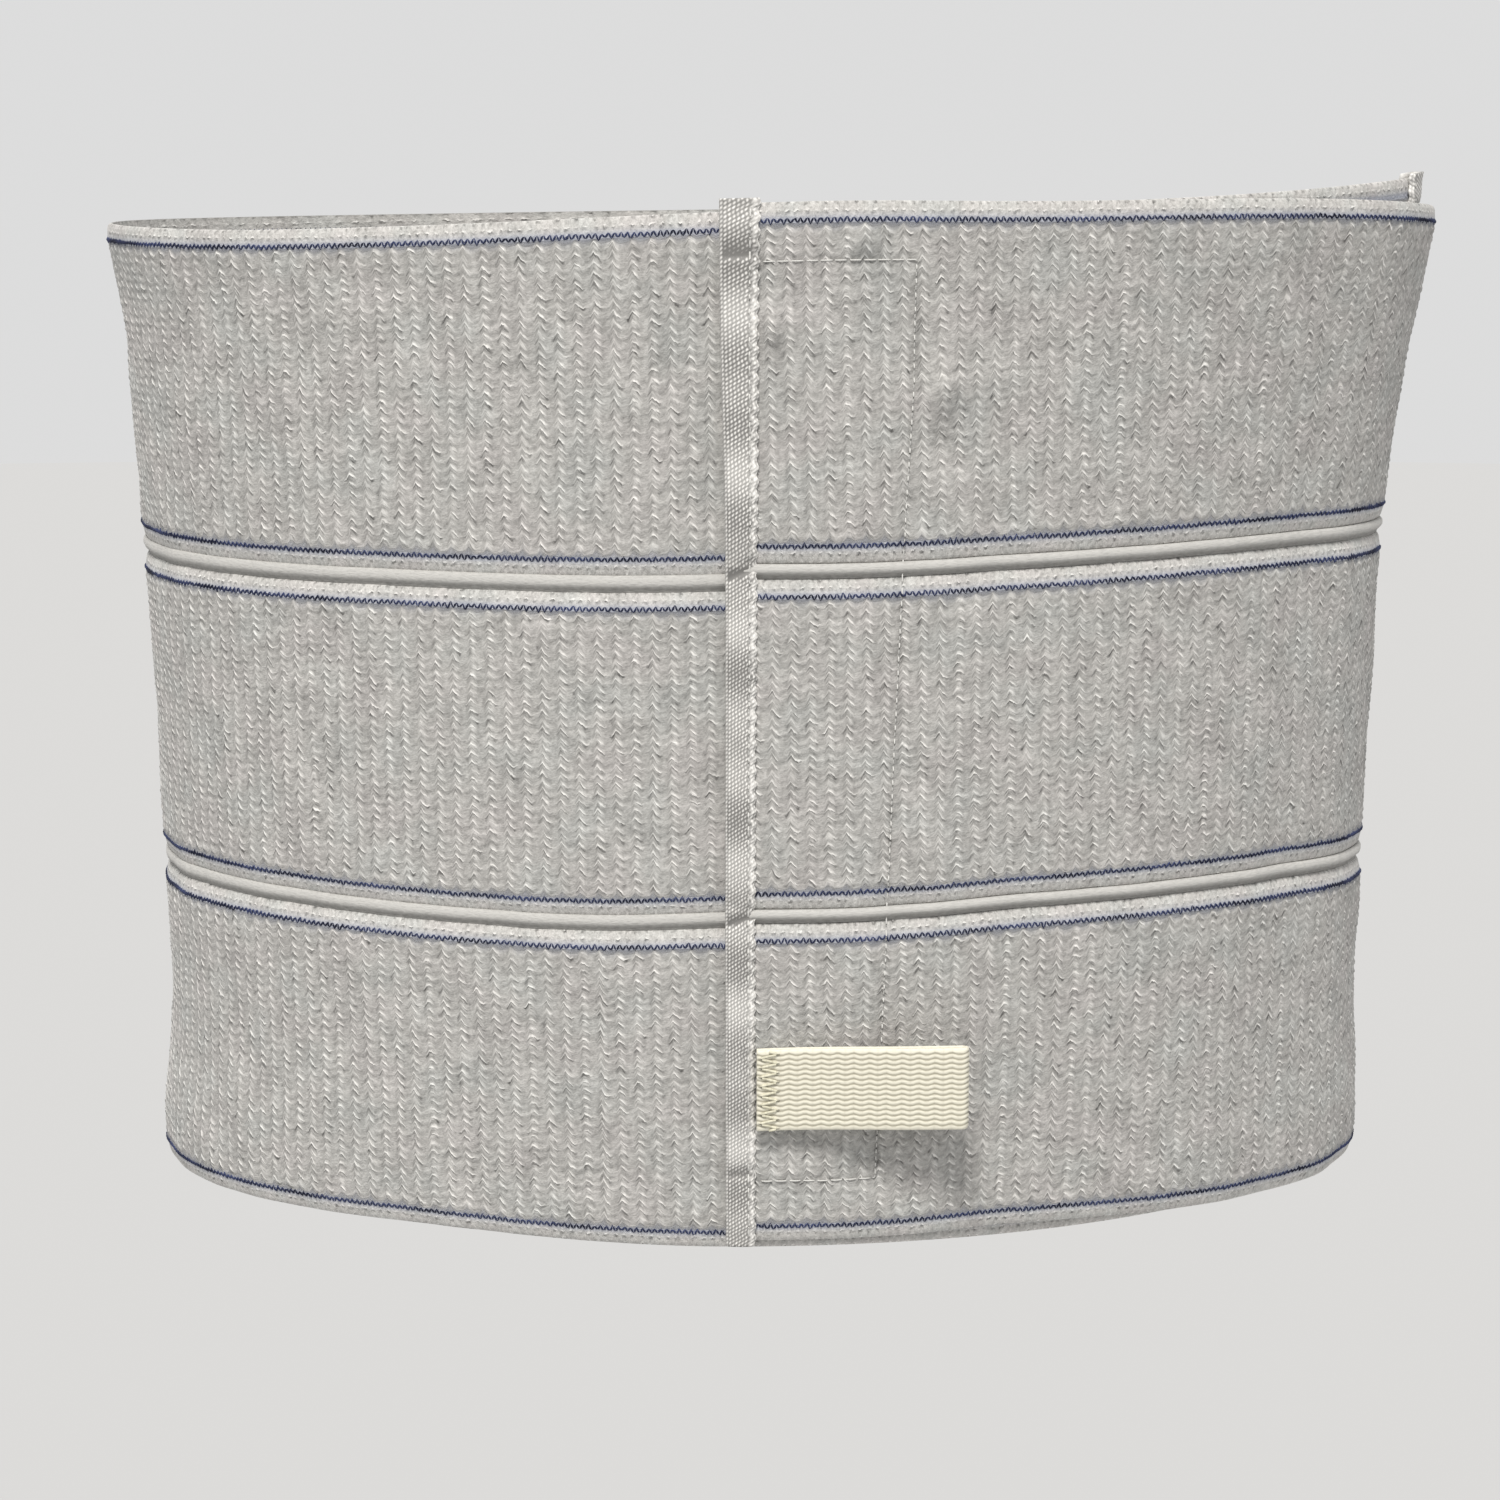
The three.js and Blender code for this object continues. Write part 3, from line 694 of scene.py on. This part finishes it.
def knitted_panel(name, top_drop):
    """One panel; its finish starts many wales on from the last one's, so no two share their blotches"""
    turns = column_turns[:, None]
    own_wales = round(top_drop / seam_pitch) * wales_to_next_panel * wale_width
    from_line = np.minimum(row_drops - edge_line, panel_height - edge_line - row_drops)
    fade = np.clip(from_line / fade_reach, 0, 1) * row_knitted
    wale_shift = np.repeat(seed.normal(0, wale_slip, wale_count), len(column_shares))
    shift = chevron_rise / 2 * zigzag + round_band(wale_shift)
    drops = top_drop + row_drops + shift[:, None] * fade
    relief = course_crest[row_in_course] * plump[:, None]
    relief = relief + seed.normal(0, loop_unevenness, relief.shape)
    relief = np.clip(relief, 0, 1.25) * row_knitted * knitted[:, None]
    wave = np.sin(column_lengths[:, None] * blotch_round + seed.uniform(0, 6)) * np.sin(drops * blotch_down)
    raised = knit_depth * (relief * (0.75 + 0.25 * wave) - 0.6) * row_knitted * knitted[:, None]
    rib = np.where(np.arange(len(column_turns)) % 2, 1, -1)[:, None] * (1 - row_knitted)
    raised = raised + rim_rib_depth * rib * knitted[:, None] * np.minimum(1, row_shares)
    pulled = sewn_at(column_lengths[:, None], drops)
    stand = cloth_stand(turns, drops, panel_share(drops) * row_shares) + raised - sewn_depth * pulled
    outer = band_point(turns, drops, np.maximum(stand, inside_stand(turns) + least_rim))
    inner = band_point(turns, top_drop + inner_drops, inside_stand(turns) + inside_clearance)
    place = np.zeros((len(column_turns), len(row_drops) + len(inner_drops), 3))
    place[..., 0] = column_lengths[:, None] - knit_start + own_wales
    # The loops are half as wide on the rims, and the inside reads another slice of the noise
    place[:, :len(row_drops), 0] *= 2 - row_knitted
    place[:, len(row_drops):, 2] = 1
    place[..., 1] = np.concatenate([row_drops, inner_drops]) - knit_margin
    # The colour measure: painted shade in grooves and painted light on crests, painted shade where the
    # stitching pulls the flap in, and alternate rim ribs painted lighter and darker
    shown = np.where(row_knitted * knitted[:, None] > 0, relief, 0.65 + 0.1 * rib) - 0.4 * pulled
    to_line = np.minimum(abs(row_drops - edge_line), abs(panel_height - edge_line - row_drops))
    blueness = np.broadcast_to(np.exp(-(to_line / blue_reach) ** 2), shown.shape)
    inner_relief = np.full((len(column_turns), len(inner_drops)), 0.5)
    rim_edges = (len(row_drops), len(row_drops) + len(inner_drops) - 1)
    return sleeve(name, np.concatenate([outer, inner], axis=1), rim_edges, place=place,
                  relief=np.concatenate([shown, inner_relief], axis=1),
                  blueness=np.concatenate([blueness, 0 * inner_relief], axis=1))


panels = [knitted_panel(f"knitted_panel_{i + 1}", i * seam_pitch) for i in range(panel_count)]

# %% [markdown]
# ## The seam ridges
#
# Where two panels meet, a rounded cord of smooth yarn fills the seam. On the side that is pulled flat it
# looks like a soft tape; on the flap it is drawn in to a narrow ridge that catches the light and throws a
# groove of shade below. A round tube would look the same all the way, so one table says how tall and how
# proud the ridge is along the band, and another gives its lopsided profile. The profile also paints the
# ridge: painted light on its upper half and painted shade on its lower half, as from a light above.

# %% One ridge
ridge_shape = table("turn tall proud", (-77, 1, 0.1), (-20, 1, 0.1), (8, 1.02, 0.15), (60, 1.02, 0.2),
                    (120, 1, 0.25), (250, 0.95, 0.3), (300, 0.88, 0.4), (365, 0.82, 0.45))
# The profile's last column is painted light near the top of the ridge and painted shade lower down
ridge_profile = table("down stand shine", (0, 0.62, 0.75), (0.08, 0.86, 0.9), (0.2, 0.97, 1), (0.35, 1, 1),
                      (0.5, 0.93, 0.85), (0.64, 0.72, 0.5), (0.76, 0.45, 0.2), (0.88, 0.25, 0.1),
                      (1, 0.2, 0.15))
ridge_corners = 14
ridge_step = 1.1 * mm
ridge_half = ridge_room / 2 + 0.15 * mm
ridge_foot = 0.5 * mm
ridge_base = 0.1 * mm
ridge_crimp = 0.08
ridge_lip = 0.16
ridge_corner_pitch = 0.3 * mm


def seam_ridge(name, middle_drop):
    lengths = np.arange(0, band_length, ridge_step)
    turns = turn_at(lengths)[:, None]
    across = np.linspace(0, 1, ridge_corners)
    tall = ridge_half * along(ridge_shape, "turn", turns, "tall")
    proud = along(ridge_shape, "turn", turns, "proud") * mm
    crimp = 1 + ridge_crimp * seed.normal(size=turns.shape)
    body = inside_stand(turns) + ripple_at(turns, middle_drop) + ridge_foot
    rise = (ridge_thickness * squeeze_at(turns) - ridge_foot + proud) * crimp
    arch = along(ridge_profile, "down", across, "stand")
    spread = 2 * across - 1 - ridge_lip * (1 - across) ** 6
    outer = band_point(turns, middle_drop + tall * spread, body + rise * arch)
    base = band_point(turns, middle_drop + ridge_half * np.array([1, 0.5, -0.5, -1]),
                      inside_stand(turns) + ridge_base)
    rings = np.concatenate([outer, base], axis=1)
    place = places(rings, lengths[:, None], np.arange(rings.shape[1]) * ridge_corner_pitch)
    # Painted light on the upper half, painted shade on the lower half
    painted_light_profile = along(ridge_profile, "down", across, "shine")
    shine = np.concatenate([np.broadcast_to(painted_light_profile, outer.shape[:2]), np.full(base.shape[:2], 0.3)], axis=1)
    return sleeve(name, rings, place=place, relief=shine)


ridges = [seam_ridge(f"seam_ridge_{i + 1}", (i + 1) * seam_pitch - ridge_room / 2)
          for i in range(panel_count - 1)]

# %% [markdown]
# ## The navy zigzag threads
#
# A zigzag machine joins each selvedge with navy thread. The thread lies on the cloth in the middle of
# each limb and dives into it at each needle hole, so it shows as a row of short slanted strokes. It is
# one thin cord, swept along a zigzag path with two points to each limb. The same seam shows on the
# inside.

# %% Zigzag lines on both faces
zigzag_period = 1.4 * mm
zigzag_swing = 0.56 * mm
thread_radius = 0.22 * mm
thread_lift = 0.34 * mm
thread_sink = 0.14 * mm
thread_wander = 0.13 * mm
inner_sink = 0.08 * mm
limb_points = 2
thread_start_turn = -2
thread_stop = 2 * mm


def zigzag_line(name, drop, inside=False):
    start = 0.0 if inside else float(length_at(thread_start_turn))
    step = zigzag_period / (2 if inside else 2 * limb_points)
    lengths = start + np.arange(int((band_length - start) / step)) * step
    lengths = lengths[lengths < band_length - thread_stop]
    phase = (lengths - start) / zigzag_period * 2 * math.pi + (math.pi / 2 if inside else 0)
    swing = 2 / math.pi * np.arcsin(np.sin(phase))
    turns, drops = turn_at(lengths), drop + zigzag_swing * swing
    if inside:
        stand = inside_stand(turns) - inner_sink
    else:
        drops = drops + seed.normal(0, thread_wander, len(lengths))
        lift = thread_lift * np.cos(phase) ** 2 - thread_sink
        stand = cloth_stand(turns, drops, panel_share(drops) * 0.95) + lift
    path = band_point(turns, drops, stand)
    rings = cord_rings(path, thread_radius, 3 if inside else 4)
    place = places(rings, lengths[:, None], drops[:, None])
    slow = np.sin(lengths * 260) * np.sin(lengths * 97 + drop * 500)
    # Lighter and darker spots once along each limb, and slow lighter and darker stretches
    tone_along_thread = 0.1 + 0.5 * np.sin(phase + 0.6) ** 2 + 0.35 * slow
    return sleeve(name, rings, place=place, relief=np.broadcast_to(tone_along_thread[:, None], rings.shape[:2]))


line_drops = []
for i in range(panel_count):
    line_drops += [i * seam_pitch + edge_line, i * seam_pitch + panel_height - edge_line]
threads = [zigzag_line(f"zigzag_thread_{i + 1}", drop) for i, drop in enumerate(line_drops)]
inner_threads = [zigzag_line(f"inner_zigzag_thread_{i + 1}", drop, True) for i, drop in enumerate(line_drops)]

# %% [markdown]
# ## The bindings
#
# Satin tape is folded over each end of the band and sewn through. Its twill shows as rows of tiny bright
# floats in a brick pattern. A plain ribbon with a bump would shine evenly, so the net here is fine enough
# to raise each float, and each float is also painted brighter as a highlight. The tape dips where it
# crosses a seam, and is creased near the top and the bottom, where the hidden hook strip starts and stops.
# The stitch row and the creases are painted darker as shade.

# %% Where a binding's faces lie
float_step = 0.46 * mm
nose_corners = 7
nose_share = 0.1
tape_row_share = 0.77
tape_creases = table("drop above below deep lean", (10.8, 4, 0.6, 0.7, 0.4), (76.3, 2.2, 0.7, 0.9, 2.6),
                     (154, 2, 0.7, 0.8, 2.2), (213, 2.5, 0.7, 0.6, 0.5))
float_height = 0.2 * mm
tape_crown = 0.35 * mm
tape_scallop = 0.035
tape_inset = 0.1 * mm
side_rounding = 0.6 * mm
row_reach = 0.04
row_dip = 0.12 * mm
full_crease = 0.8 * mm
print(f"{band_height / float_step:.0f} rows of floats down a tape")


def band_face(turn, drop, outer):
    content = np.clip(drop, 0, band_height - piece_gap)
    in_pitch = content % seam_pitch
    share = np.where(in_pitch > panel_height, ridge_thickness / panel_thickness, panel_share(content))
    thick = panel_thickness * share * squeeze_at(turn)
    return inside_stand(turn) + (thick if outer else 0)


def tape_crease(drop, share):
    """How deep the tape is folded in: it slides in slowly from above and comes out at once below"""
    deepest = 0
    for at, above, below, deep, lean in zip(*tape_creases.values()):
        past = drop / mm - at - lean * (0.5 - share)
        deepest = deepest + deep * mm * np.exp(-((past / np.where(past < 0, above, below)) ** 2))
    return deepest


# %% One binding, folded over an end of the band
def folded_tape(name, end_turn, onward):
    drops = np.arange(-binding_overhang, band_height + binding_overhang, float_step)
    row = np.arange(len(drops))
    width = tape_width(drops) * (1 + tape_scallop * np.cos(drops / stitch_pitch * 2 * math.pi))
    per_metre = turn_of(1.0, end_turn)
    slow = 0.15 * np.sin(drops * 290 + 1.3) * np.sin(drops * 83)
    corners, reliefs = [], []

    def place_corner(back, outer, layer, relief=0.5):
        turn = end_turn + onward * (binding_stand - back) * per_metre
        on_band = np.minimum(turn, end_turn) if onward > 0 else np.maximum(turn, end_turn)
        stand = band_face(on_band, drops, outer) + (layer if outer else -layer)
        corners.append(np.stack(np.broadcast_arrays(turn, stand), axis=-1))
        reliefs.append(np.broadcast_to(relief, drops.shape))
        return stand

    for i, share in enumerate(np.linspace(1, nose_share, int(binding_width / float_step))):
        crease = tape_crease(drops, share)
        folded = np.clip(crease / full_crease, 0, 1)
        smooth = folded**3
        is_float = (i % 2 == 0) * ((row + i // 2) % 2 == 0) * (1 - smooth) * seed.uniform(0.6, 1, len(row))
        sewn = math.exp(-(((share - tape_row_share) / row_reach) ** 2))
        fringe = (share > tape_row_share + 0.06) * seed.uniform(0, 0.5, len(row))
        rounding = side_rounding * max(0, 1 - i / 2.5)
        crown = tape_crown * (1 - (2 * share - 1) ** 2)
        layer = binding_stand + crown + is_float * float_height - crease - rounding - row_dip * sewn
        # Tone: painted highlights on the floats, painted shade along the stitch row and in the creases,
        # random lighter specks outside the stitch row, and a slow change
        shine = 0.13 + slow + 0.87 * is_float * (1 - 0.6 * sewn) + fringe - 0.2 * folded
        high = place_corner(share * width, True, layer, np.clip(shine, 0, 1))
    low = band_face(np.full(len(drops), float(end_turn)), drops, False) - binding_stand
    for angle in np.linspace(0, math.pi, nose_corners)[1:-1]:
        back = nose_share * width * (1 - math.sin(angle))
        turn = end_turn + onward * (binding_stand - back) * per_metre
        stand = (high + low) / 2 + (high - low) / 2 * math.cos(angle)
        corners.append(np.stack([turn, stand], axis=-1))
        # Painted highlights on the floats round the nose
        reliefs.append(0.2 + 0.6 * (len(corners) % 2) * ((row + len(corners) // 2) % 2))
    for share in (0.1, 0.5, 1):
        place_corner(share * width, False, binding_stand)
    for share in (1, 0.5, 0.2):
        place_corner(share * width, False, tape_inset)
    for share in (0.2, 0.5, 1):
        place_corner(share * width, True, tape_inset)
    turn_stand = np.stack(corners, axis=1)
    rings = band_point(turn_stand[..., 0], drops[:, None], turn_stand[..., 1])
    place = places(rings, np.arange(rings.shape[1]) * float_step, drops[:, None])
    return sleeve(name, rings, place=place, relief=np.stack(reliefs, axis=1))


flap_tape = folded_tape("flap_end_tape", flap_end_turn, 1)
underlap_tape = folded_tape("underlap_end_tape", underlap_end_turn, -1)

# %% [markdown]
# ## The pull tab
#
# A length of cream webbing is folded in two and sewn down at its cut ends, so that its fold stands off
# the flap for a finger. Webbing has plump ribs along its length that sway to and fro as the cross threads
# go over and under. The tab is one strip swept out along the under layer, round the fold and back. Its
# free end is lifted a little against the solid's.

# %% Where the tab is sewn on and how its webbing runs
tab_lift = 1.8 * mm
tab_steps = 70
fold_points = 12


def tab_frame():
    """Where the webbing is sewn on, which ways it runs and stands out, and how its height leans"""
    back = tape_width(tab_drop) + piece_gap
    sewn_turn = float(flap_end_turn + turn_of(binding_stand - back, flap_end_turn))
    stand = float(band_face(np.asarray(sewn_turn), np.asarray(tab_drop), True)) + 2 * piece_gap
    seat = band_point(sewn_turn, tab_drop, stand)
    run = band_point(sewn_turn - 0.5, tab_drop, 0) - band_point(sewn_turn + 0.5, tab_drop, 0)
    run[2] = 0
    run /= np.linalg.norm(run)
    outward = np.array([run[1], -run[0], 0])
    leans = [band_point(sewn_turn, tab_drop + side * tab_height / 2, stand) - seat for side in (-1, 1)]
    return seat, run, outward, leans


def webbing_route():
    """The middle of the webbing's thickness, from its sewn end under, round the fold and back over"""
    straight = tab_length - tab_fold_radius
    lengths = np.linspace(0, straight, tab_steps)
    stands = tab_length * along(tab_route, "along", lengths / tab_length, "stand")
    depths = 2 * webbing_thickness + tab_slot
    depths = depths + (2 * tab_fold_radius - depths) * lengths / straight
    under = np.stack([lengths, stands + webbing_thickness / 2], axis=1)
    over = np.stack([lengths, stands + depths - webbing_thickness / 2], axis=1)[::-1]
    angles = np.linspace(-math.pi / 2, math.pi / 2, fold_points + 2)[1:-1]
    radius = tab_fold_radius - webbing_thickness / 2
    middle = stands[-1] + tab_fold_radius
    fold = np.stack([straight + radius * np.cos(angles), middle + radius * np.sin(angles)], axis=1)
    return np.concatenate([under, fold, over])


def leans_at(leans, up):
    """Where a height across the tab lies: it leans with the flap's face"""
    share = (up / tab_height + 0.5)[..., None]
    return leans[1] + (leans[0] - leans[1]) * share


print(len(webbing_route()), "steps along the webbing")

# %% Webbing ribs as relief
rib_count = 16
rib_rows = 5 * rib_count
rib_depth = 0.25 * mm
sway_count = 13
sway = 0.2 * mm
side_trim = 0.1 * mm


def webbing_tab():
    seat, run, outward, leans = tab_frame()
    route = webbing_route()
    travelled = np.concatenate([[0], np.cumsum(np.linalg.norm(np.diff(route, axis=0), axis=1))])
    ahead = np.gradient(route, axis=0)
    ahead /= np.linalg.norm(ahead, axis=1, keepdims=True)
    face = np.stack([ahead[:, 1], -ahead[:, 0]], axis=1)
    across = np.linspace(-1, 1, rib_rows + 1)
    end_round = np.clip((1 - abs(across)) * 9, 0, 1) ** 0.5
    rib = np.sqrt(0.5 - 0.5 * np.cos((across + 1) * math.pi * rib_count))
    rib = np.where(abs(across) > 1 - 1.5 / rib_count, np.maximum(rib, 0.9), rib)
    wave = sway * np.sin(travelled / tab_length * sway_count * 2 * math.pi)[:, None] * end_round
    half = webbing_thickness / 2
    plump = 0.88 + 0.12 * np.cos(travelled / tab_length * sway_count * 4 * math.pi)[:, None]
    outer = (half - rib_depth * (1 - rib) * 0.8) * (0.35 + 0.65 * end_round) * plump
    up = across * (tab_height / 2 - side_trim) + wave
    flat = seat + route[:, :1] * run + route[:, 1:] * outward
    flat[:, 2] += tab_lift * route[:, 0] / tab_length
    shape = flat[:, None] + leans_at(leans, up)
    off_middle = outer[..., None] * (face[:, :1] * run + face[:, 1:] * outward)[:, None]
    rings = np.concatenate([shape + off_middle, (shape - off_middle)[:, ::-1]], axis=1)
    place = places(rings, travelled[:, None], np.concatenate([up, up[:, ::-1]], axis=1))
    # Painted shade in the rib grooves and painted light on the crests and plumper parts
    relief = np.broadcast_to(rib, up.shape) * plump
    relief = np.concatenate([relief, relief[:, ::-1]], axis=1)
    return sleeve("webbing_pull_tab", rings, place=place, relief=relief)


pull_tab = webbing_tab()

# %% [markdown]
# ## Stitches
#
# Short stitches hold the binding and the hidden hook strip: a straight row down the tape, and a long
# rectangle through the flap. A row is one thread, as it is from the machine: it lies on the cloth for a
# stitch and dives into it at each needle hole, so what shows is a row of short strokes. The tab's cut
# ends are fixed with a bar tack, one thread that runs to and fro over them.


# %% Rows of stitches
stitch = table("along lift", (0, -0.45), (0.1, 0.02), (0.3, 0.16), (0.55, 0.16), (0.75, 0.02), (0.85, -0.45))
flap_dip = 0.2 * mm
tape_dip = 0.15 * mm
flap_thread_radius = 0.16 * mm
tape_thread_radius = 0.22 * mm
stitch_sides = 5
row_margin = 1 * mm
under_tape = 0.8 * mm


def stitch_row(name, corners, face, radius):
    """One thread along straight lines between corners, each a turn and a drop, on a face of the cloth"""
    corner_turns, corner_drops = np.array(corners, float).T
    spots = np.linspace(0, len(corners) - 1, 60 * len(corners))
    turns = np.interp(spots, np.arange(len(corners)), corner_turns)
    drops = np.interp(spots, np.arange(len(corners)), corner_drops)
    steps = np.linalg.norm(np.diff(band_point(turns, drops, 0), axis=0), axis=1)
    reach = np.concatenate([[0], np.cumsum(steps)])
    count = round(reach[-1] / stitch_pitch)
    marks = (np.arange(count)[:, None] + stitch["along"]).ravel() / count * reach[-1]
    bow = np.tile(stitch["lift"] * mm, count)
    turns, drops = np.interp(marks, reach, turns), np.interp(marks, reach, drops)
    rings = cord_rings(band_point(turns, drops, face(turns, drops) + bow), radius, stitch_sides)
    return sleeve(name, rings, place=places(rings, marks[:, None], 0), relief=np.full(rings.shape[:2], 0.6))


# %% The stitches on the flap and on the tapes
def flap_face(turn, drop):
    return cloth_stand(turn, drop, panel_share(drop)) - flap_dip


def tape_face(turn, drop):
    crown = tape_crown * (1 - (2 * tape_row_share - 1) ** 2)
    return band_face(turn, drop, True) + binding_stand + crown - tape_crease(drop, tape_row_share) - tape_dip


side_drops = np.linspace(strip_top, strip_bottom, 9)
tape_side = band_length + binding_stand - under_tape
rectangle = [(float(turn_at(tape_side - tape_width(strip_top))), strip_top)]
rectangle += [(float(turn_at(strip_side(drop))), drop) for drop in side_drops]
rectangle += [(float(turn_at(tape_side - tape_width(strip_bottom))), strip_bottom)]
strip_stitches = stitch_row("hook_strip_stitches", rectangle, flap_face, flap_thread_radius)


def tape_row(name, end_turn, onward):
    row_ends = np.linspace(row_margin, band_height - row_margin, 10)
    backs = tape_width(row_ends) * tape_row_share
    turns = end_turn + onward * (binding_stand - backs) * turn_of(1.0, end_turn)
    return stitch_row(name, list(zip(turns, row_ends)), tape_face, tape_thread_radius)


flap_tape_stitches = tape_row("flap_tape_stitches", flap_end_turn, 1)
underlap_tape_stitches = tape_row("underlap_tape_stitches", underlap_end_turn, -1)


# %% The bar tack on the pull tab
tack_width = 4.2 * mm
tack_passes = 17
tack_margin = 0.6 * mm
tack_radius = 0.32 * mm
tack_sink = 0.12 * mm
tack_rise = 0.22 * mm


def bar_tack():
    seat, run, outward, leans = tab_frame()
    steps = np.linspace(0, 1, tack_passes * 6 + 1)
    up = (0.5 - steps) * (tab_height - tack_margin)
    swing = 2 / math.pi * np.arcsin(np.sin(steps * tack_passes * math.pi))
    reach = tack_margin + tack_width * (0.5 + 0.5 * swing)
    top = 2 * webbing_thickness + tab_slot
    lift = top - tack_sink + tack_rise * (1 - swing**4)
    path = seat + reach[:, None] * run + lift[:, None] * outward + leans_at(leans, up)
    rings = cord_rings(path, tack_radius, stitch_sides)
    place = places(rings, reach[:, None], up[:, None])
    return sleeve("tab_bar_tack", rings, place=place, relief=np.full(rings.shape[:2], 0.6))


tack = bar_tack()


# %% [markdown]
# ## The hook strip
#
# The hook strip hides between the flap and the layer under it. It is a thin strip of stiff cloth, and
# only a glance from below or above finds its edge, so it is made plainly, with its short hooks as a fine
# bump.

# %% A thin strip behind the flap
strip_outer_gap = 0.05 * mm
strip_inner_gap = 0.1 * mm


def hidden_strip():
    drops = np.linspace(hook_strip_top_margin, band_height - hook_strip_bottom_margin, 60)
    shares = np.linspace(0, 1, 13)
    widths = hook_strip_width * along(tape_widths, "down", drops / band_height, "strip")
    back = tape_width(drops)[:, None] + piece_gap + shares * widths[:, None]
    turns = flap_end_turn + (binding_stand - back) * turn_of(1.0, flap_end_turn)
    rounded = 0.5 * (1 - np.clip(np.minimum(shares, 1 - shares) * 14, 0, 1))
    high = inside_stand(turns) - strip_outer_gap - rounded * hook_strip_thickness
    low = inside_stand(turns) - hook_strip_thickness - strip_inner_gap + rounded * hook_strip_thickness * 0.9
    over = band_point(turns, drops[:, None], high)
    under = band_point(turns, drops[:, None], low)[:, ::-1]
    rings = np.concatenate([over, under], axis=1)
    place = places(rings, np.concatenate([back, back[:, ::-1]], axis=1), drops[:, None])
    return sleeve("hook_strip_cloth", rings, place=place, relief=np.full(rings.shape[:2], 0.5))


hook_piece = hidden_strip()

# %% [markdown]
# ## Putting the pieces on
#
# Each piece gets its finish and rides with the binder, and all but the threads stand for their solids.
# The panels, the tapes, the strip and the tab are cloth. The elastic was cut shorter than it is worn,
# because it is stretched when it is on.

# %% Finishes and solids
panel_nodes = ("upper_panel", "middle_panel", "lower_panel")
ridge_nodes = ("upper_seam_ridge", "lower_seam_ridge")
for panel, solid in zip(panels, panel_nodes):
    put_on(panel, "knit", knit, solid)
for ridge, solid in zip(ridges, ridge_nodes):
    put_on(ridge, "ridge_yarn", ridge_yarn, solid)
for thread in threads + inner_threads:
    put_on(thread, "navy_thread", navy_thread)
put_on(flap_tape, "satin_tape", satin_tape, "flap_binding")
put_on(underlap_tape, "satin_tape", satin_tape, "underlap_binding")
put_on(hook_piece, "hook_fabric", hook_cloth, "hook_strip")
put_on(pull_tab, "cream_webbing", webbing, "pull_tab")
put_on(tack, "cream_webbing", cream_thread)
for sewn in (strip_stitches, flap_tape_stitches, underlap_tape_stitches):
    put_on(sewn, "white_thread", white_thread)

# %% [markdown]
# ## Camera, light and floor
#
# The camera stands a little under a metre in front, a hand's width above the middle and a finger's width
# to the left, and looks down by about eight degrees, as a product camera does. A soft main light comes
# from above and in front, a weak one from behind, and an even sky fills the shade.

# %% Camera
camera_data = bpy.data.cameras.new("camera")
camera_data.lens = 89.7
camera_data.sensor_width = 36
camera_data.clip_start = 0.05
camera = bpy.data.objects.new("camera", camera_data)
camera.location = (-0.0153, -0.913, 0.1145)
camera.rotation_euler = (math.radians(81.7), 0, math.radians(-0.85))
bpy.context.collection.objects.link(camera)
bpy.context.scene.camera = camera
print("camera at", tuple(camera.location))


# %% Lights
sky_light = 0.72


def soft_sun(name, strength, height, side, colour):
    """A broad even light from so high above and so far round, in degrees, and what it gives the floor"""
    data = bpy.data.lights.new(name, "SUN")
    data.energy = strength
    data.angle = math.radians(16)
    data.color = colour
    light = bpy.data.objects.new(name, data)
    light.rotation_euler = (math.radians(90 - height), 0, math.radians(side))
    bpy.context.collection.objects.link(light)
    return strength * math.sin(math.radians(height)) / math.pi


floor_light = sky_light + soft_sun("high_front_light", 2.95, 55, -10, (1, 0.975, 0.935))
floor_light += soft_sun("back_fill", 0.7, 40, 200, (1, 1, 1))
world = bpy.data.worlds.new("studio")
bpy.context.scene.world = world
world.use_nodes = True
world.node_tree.nodes["Background"].inputs[0].default_value = (1, 1, 1, 1)
world.node_tree.nodes["Background"].inputs[1].default_value = sky_light
bpy.context.scene.view_settings.view_transform = "Standard"
print("lit by:", [light.name for light in bpy.data.lights])

# %% [markdown]
# The floor's grey is worked out so that, under both lights and the sky, it comes out as bright as the
# backdrop. The main light's warm tint leaves it a trace warmer, too little for a horizon to be seen, so
# the cloth stands before one plain pale ground.

# %% Floor
floor_drop = 0.55
floor_reach = 9
floor_grey = sky_light / floor_light
bm = bmesh.new()
bmesh.ops.create_circle(bm, cap_ends=True, segments=96, radius=floor_reach)
bmesh.ops.translate(bm, verts=bm.verts, vec=(0, 0, -floor_drop))
floor_mesh = bpy.data.meshes.new("pale_floor")
bm.to_mesh(floor_mesh)
bm.free()
floor = bpy.data.objects.new("pale_floor", floor_mesh)
bpy.context.collection.objects.link(floor)
floor_finish, floor_shader = new_finish("floor_finish", (floor_grey, floor_grey, floor_grey), 1, 0)
floor_shader.inputs["Specular IOR Level"].default_value = 0
floor_mesh.materials.append(floor_finish)
print(f"floor grey {floor_grey:.2f}")
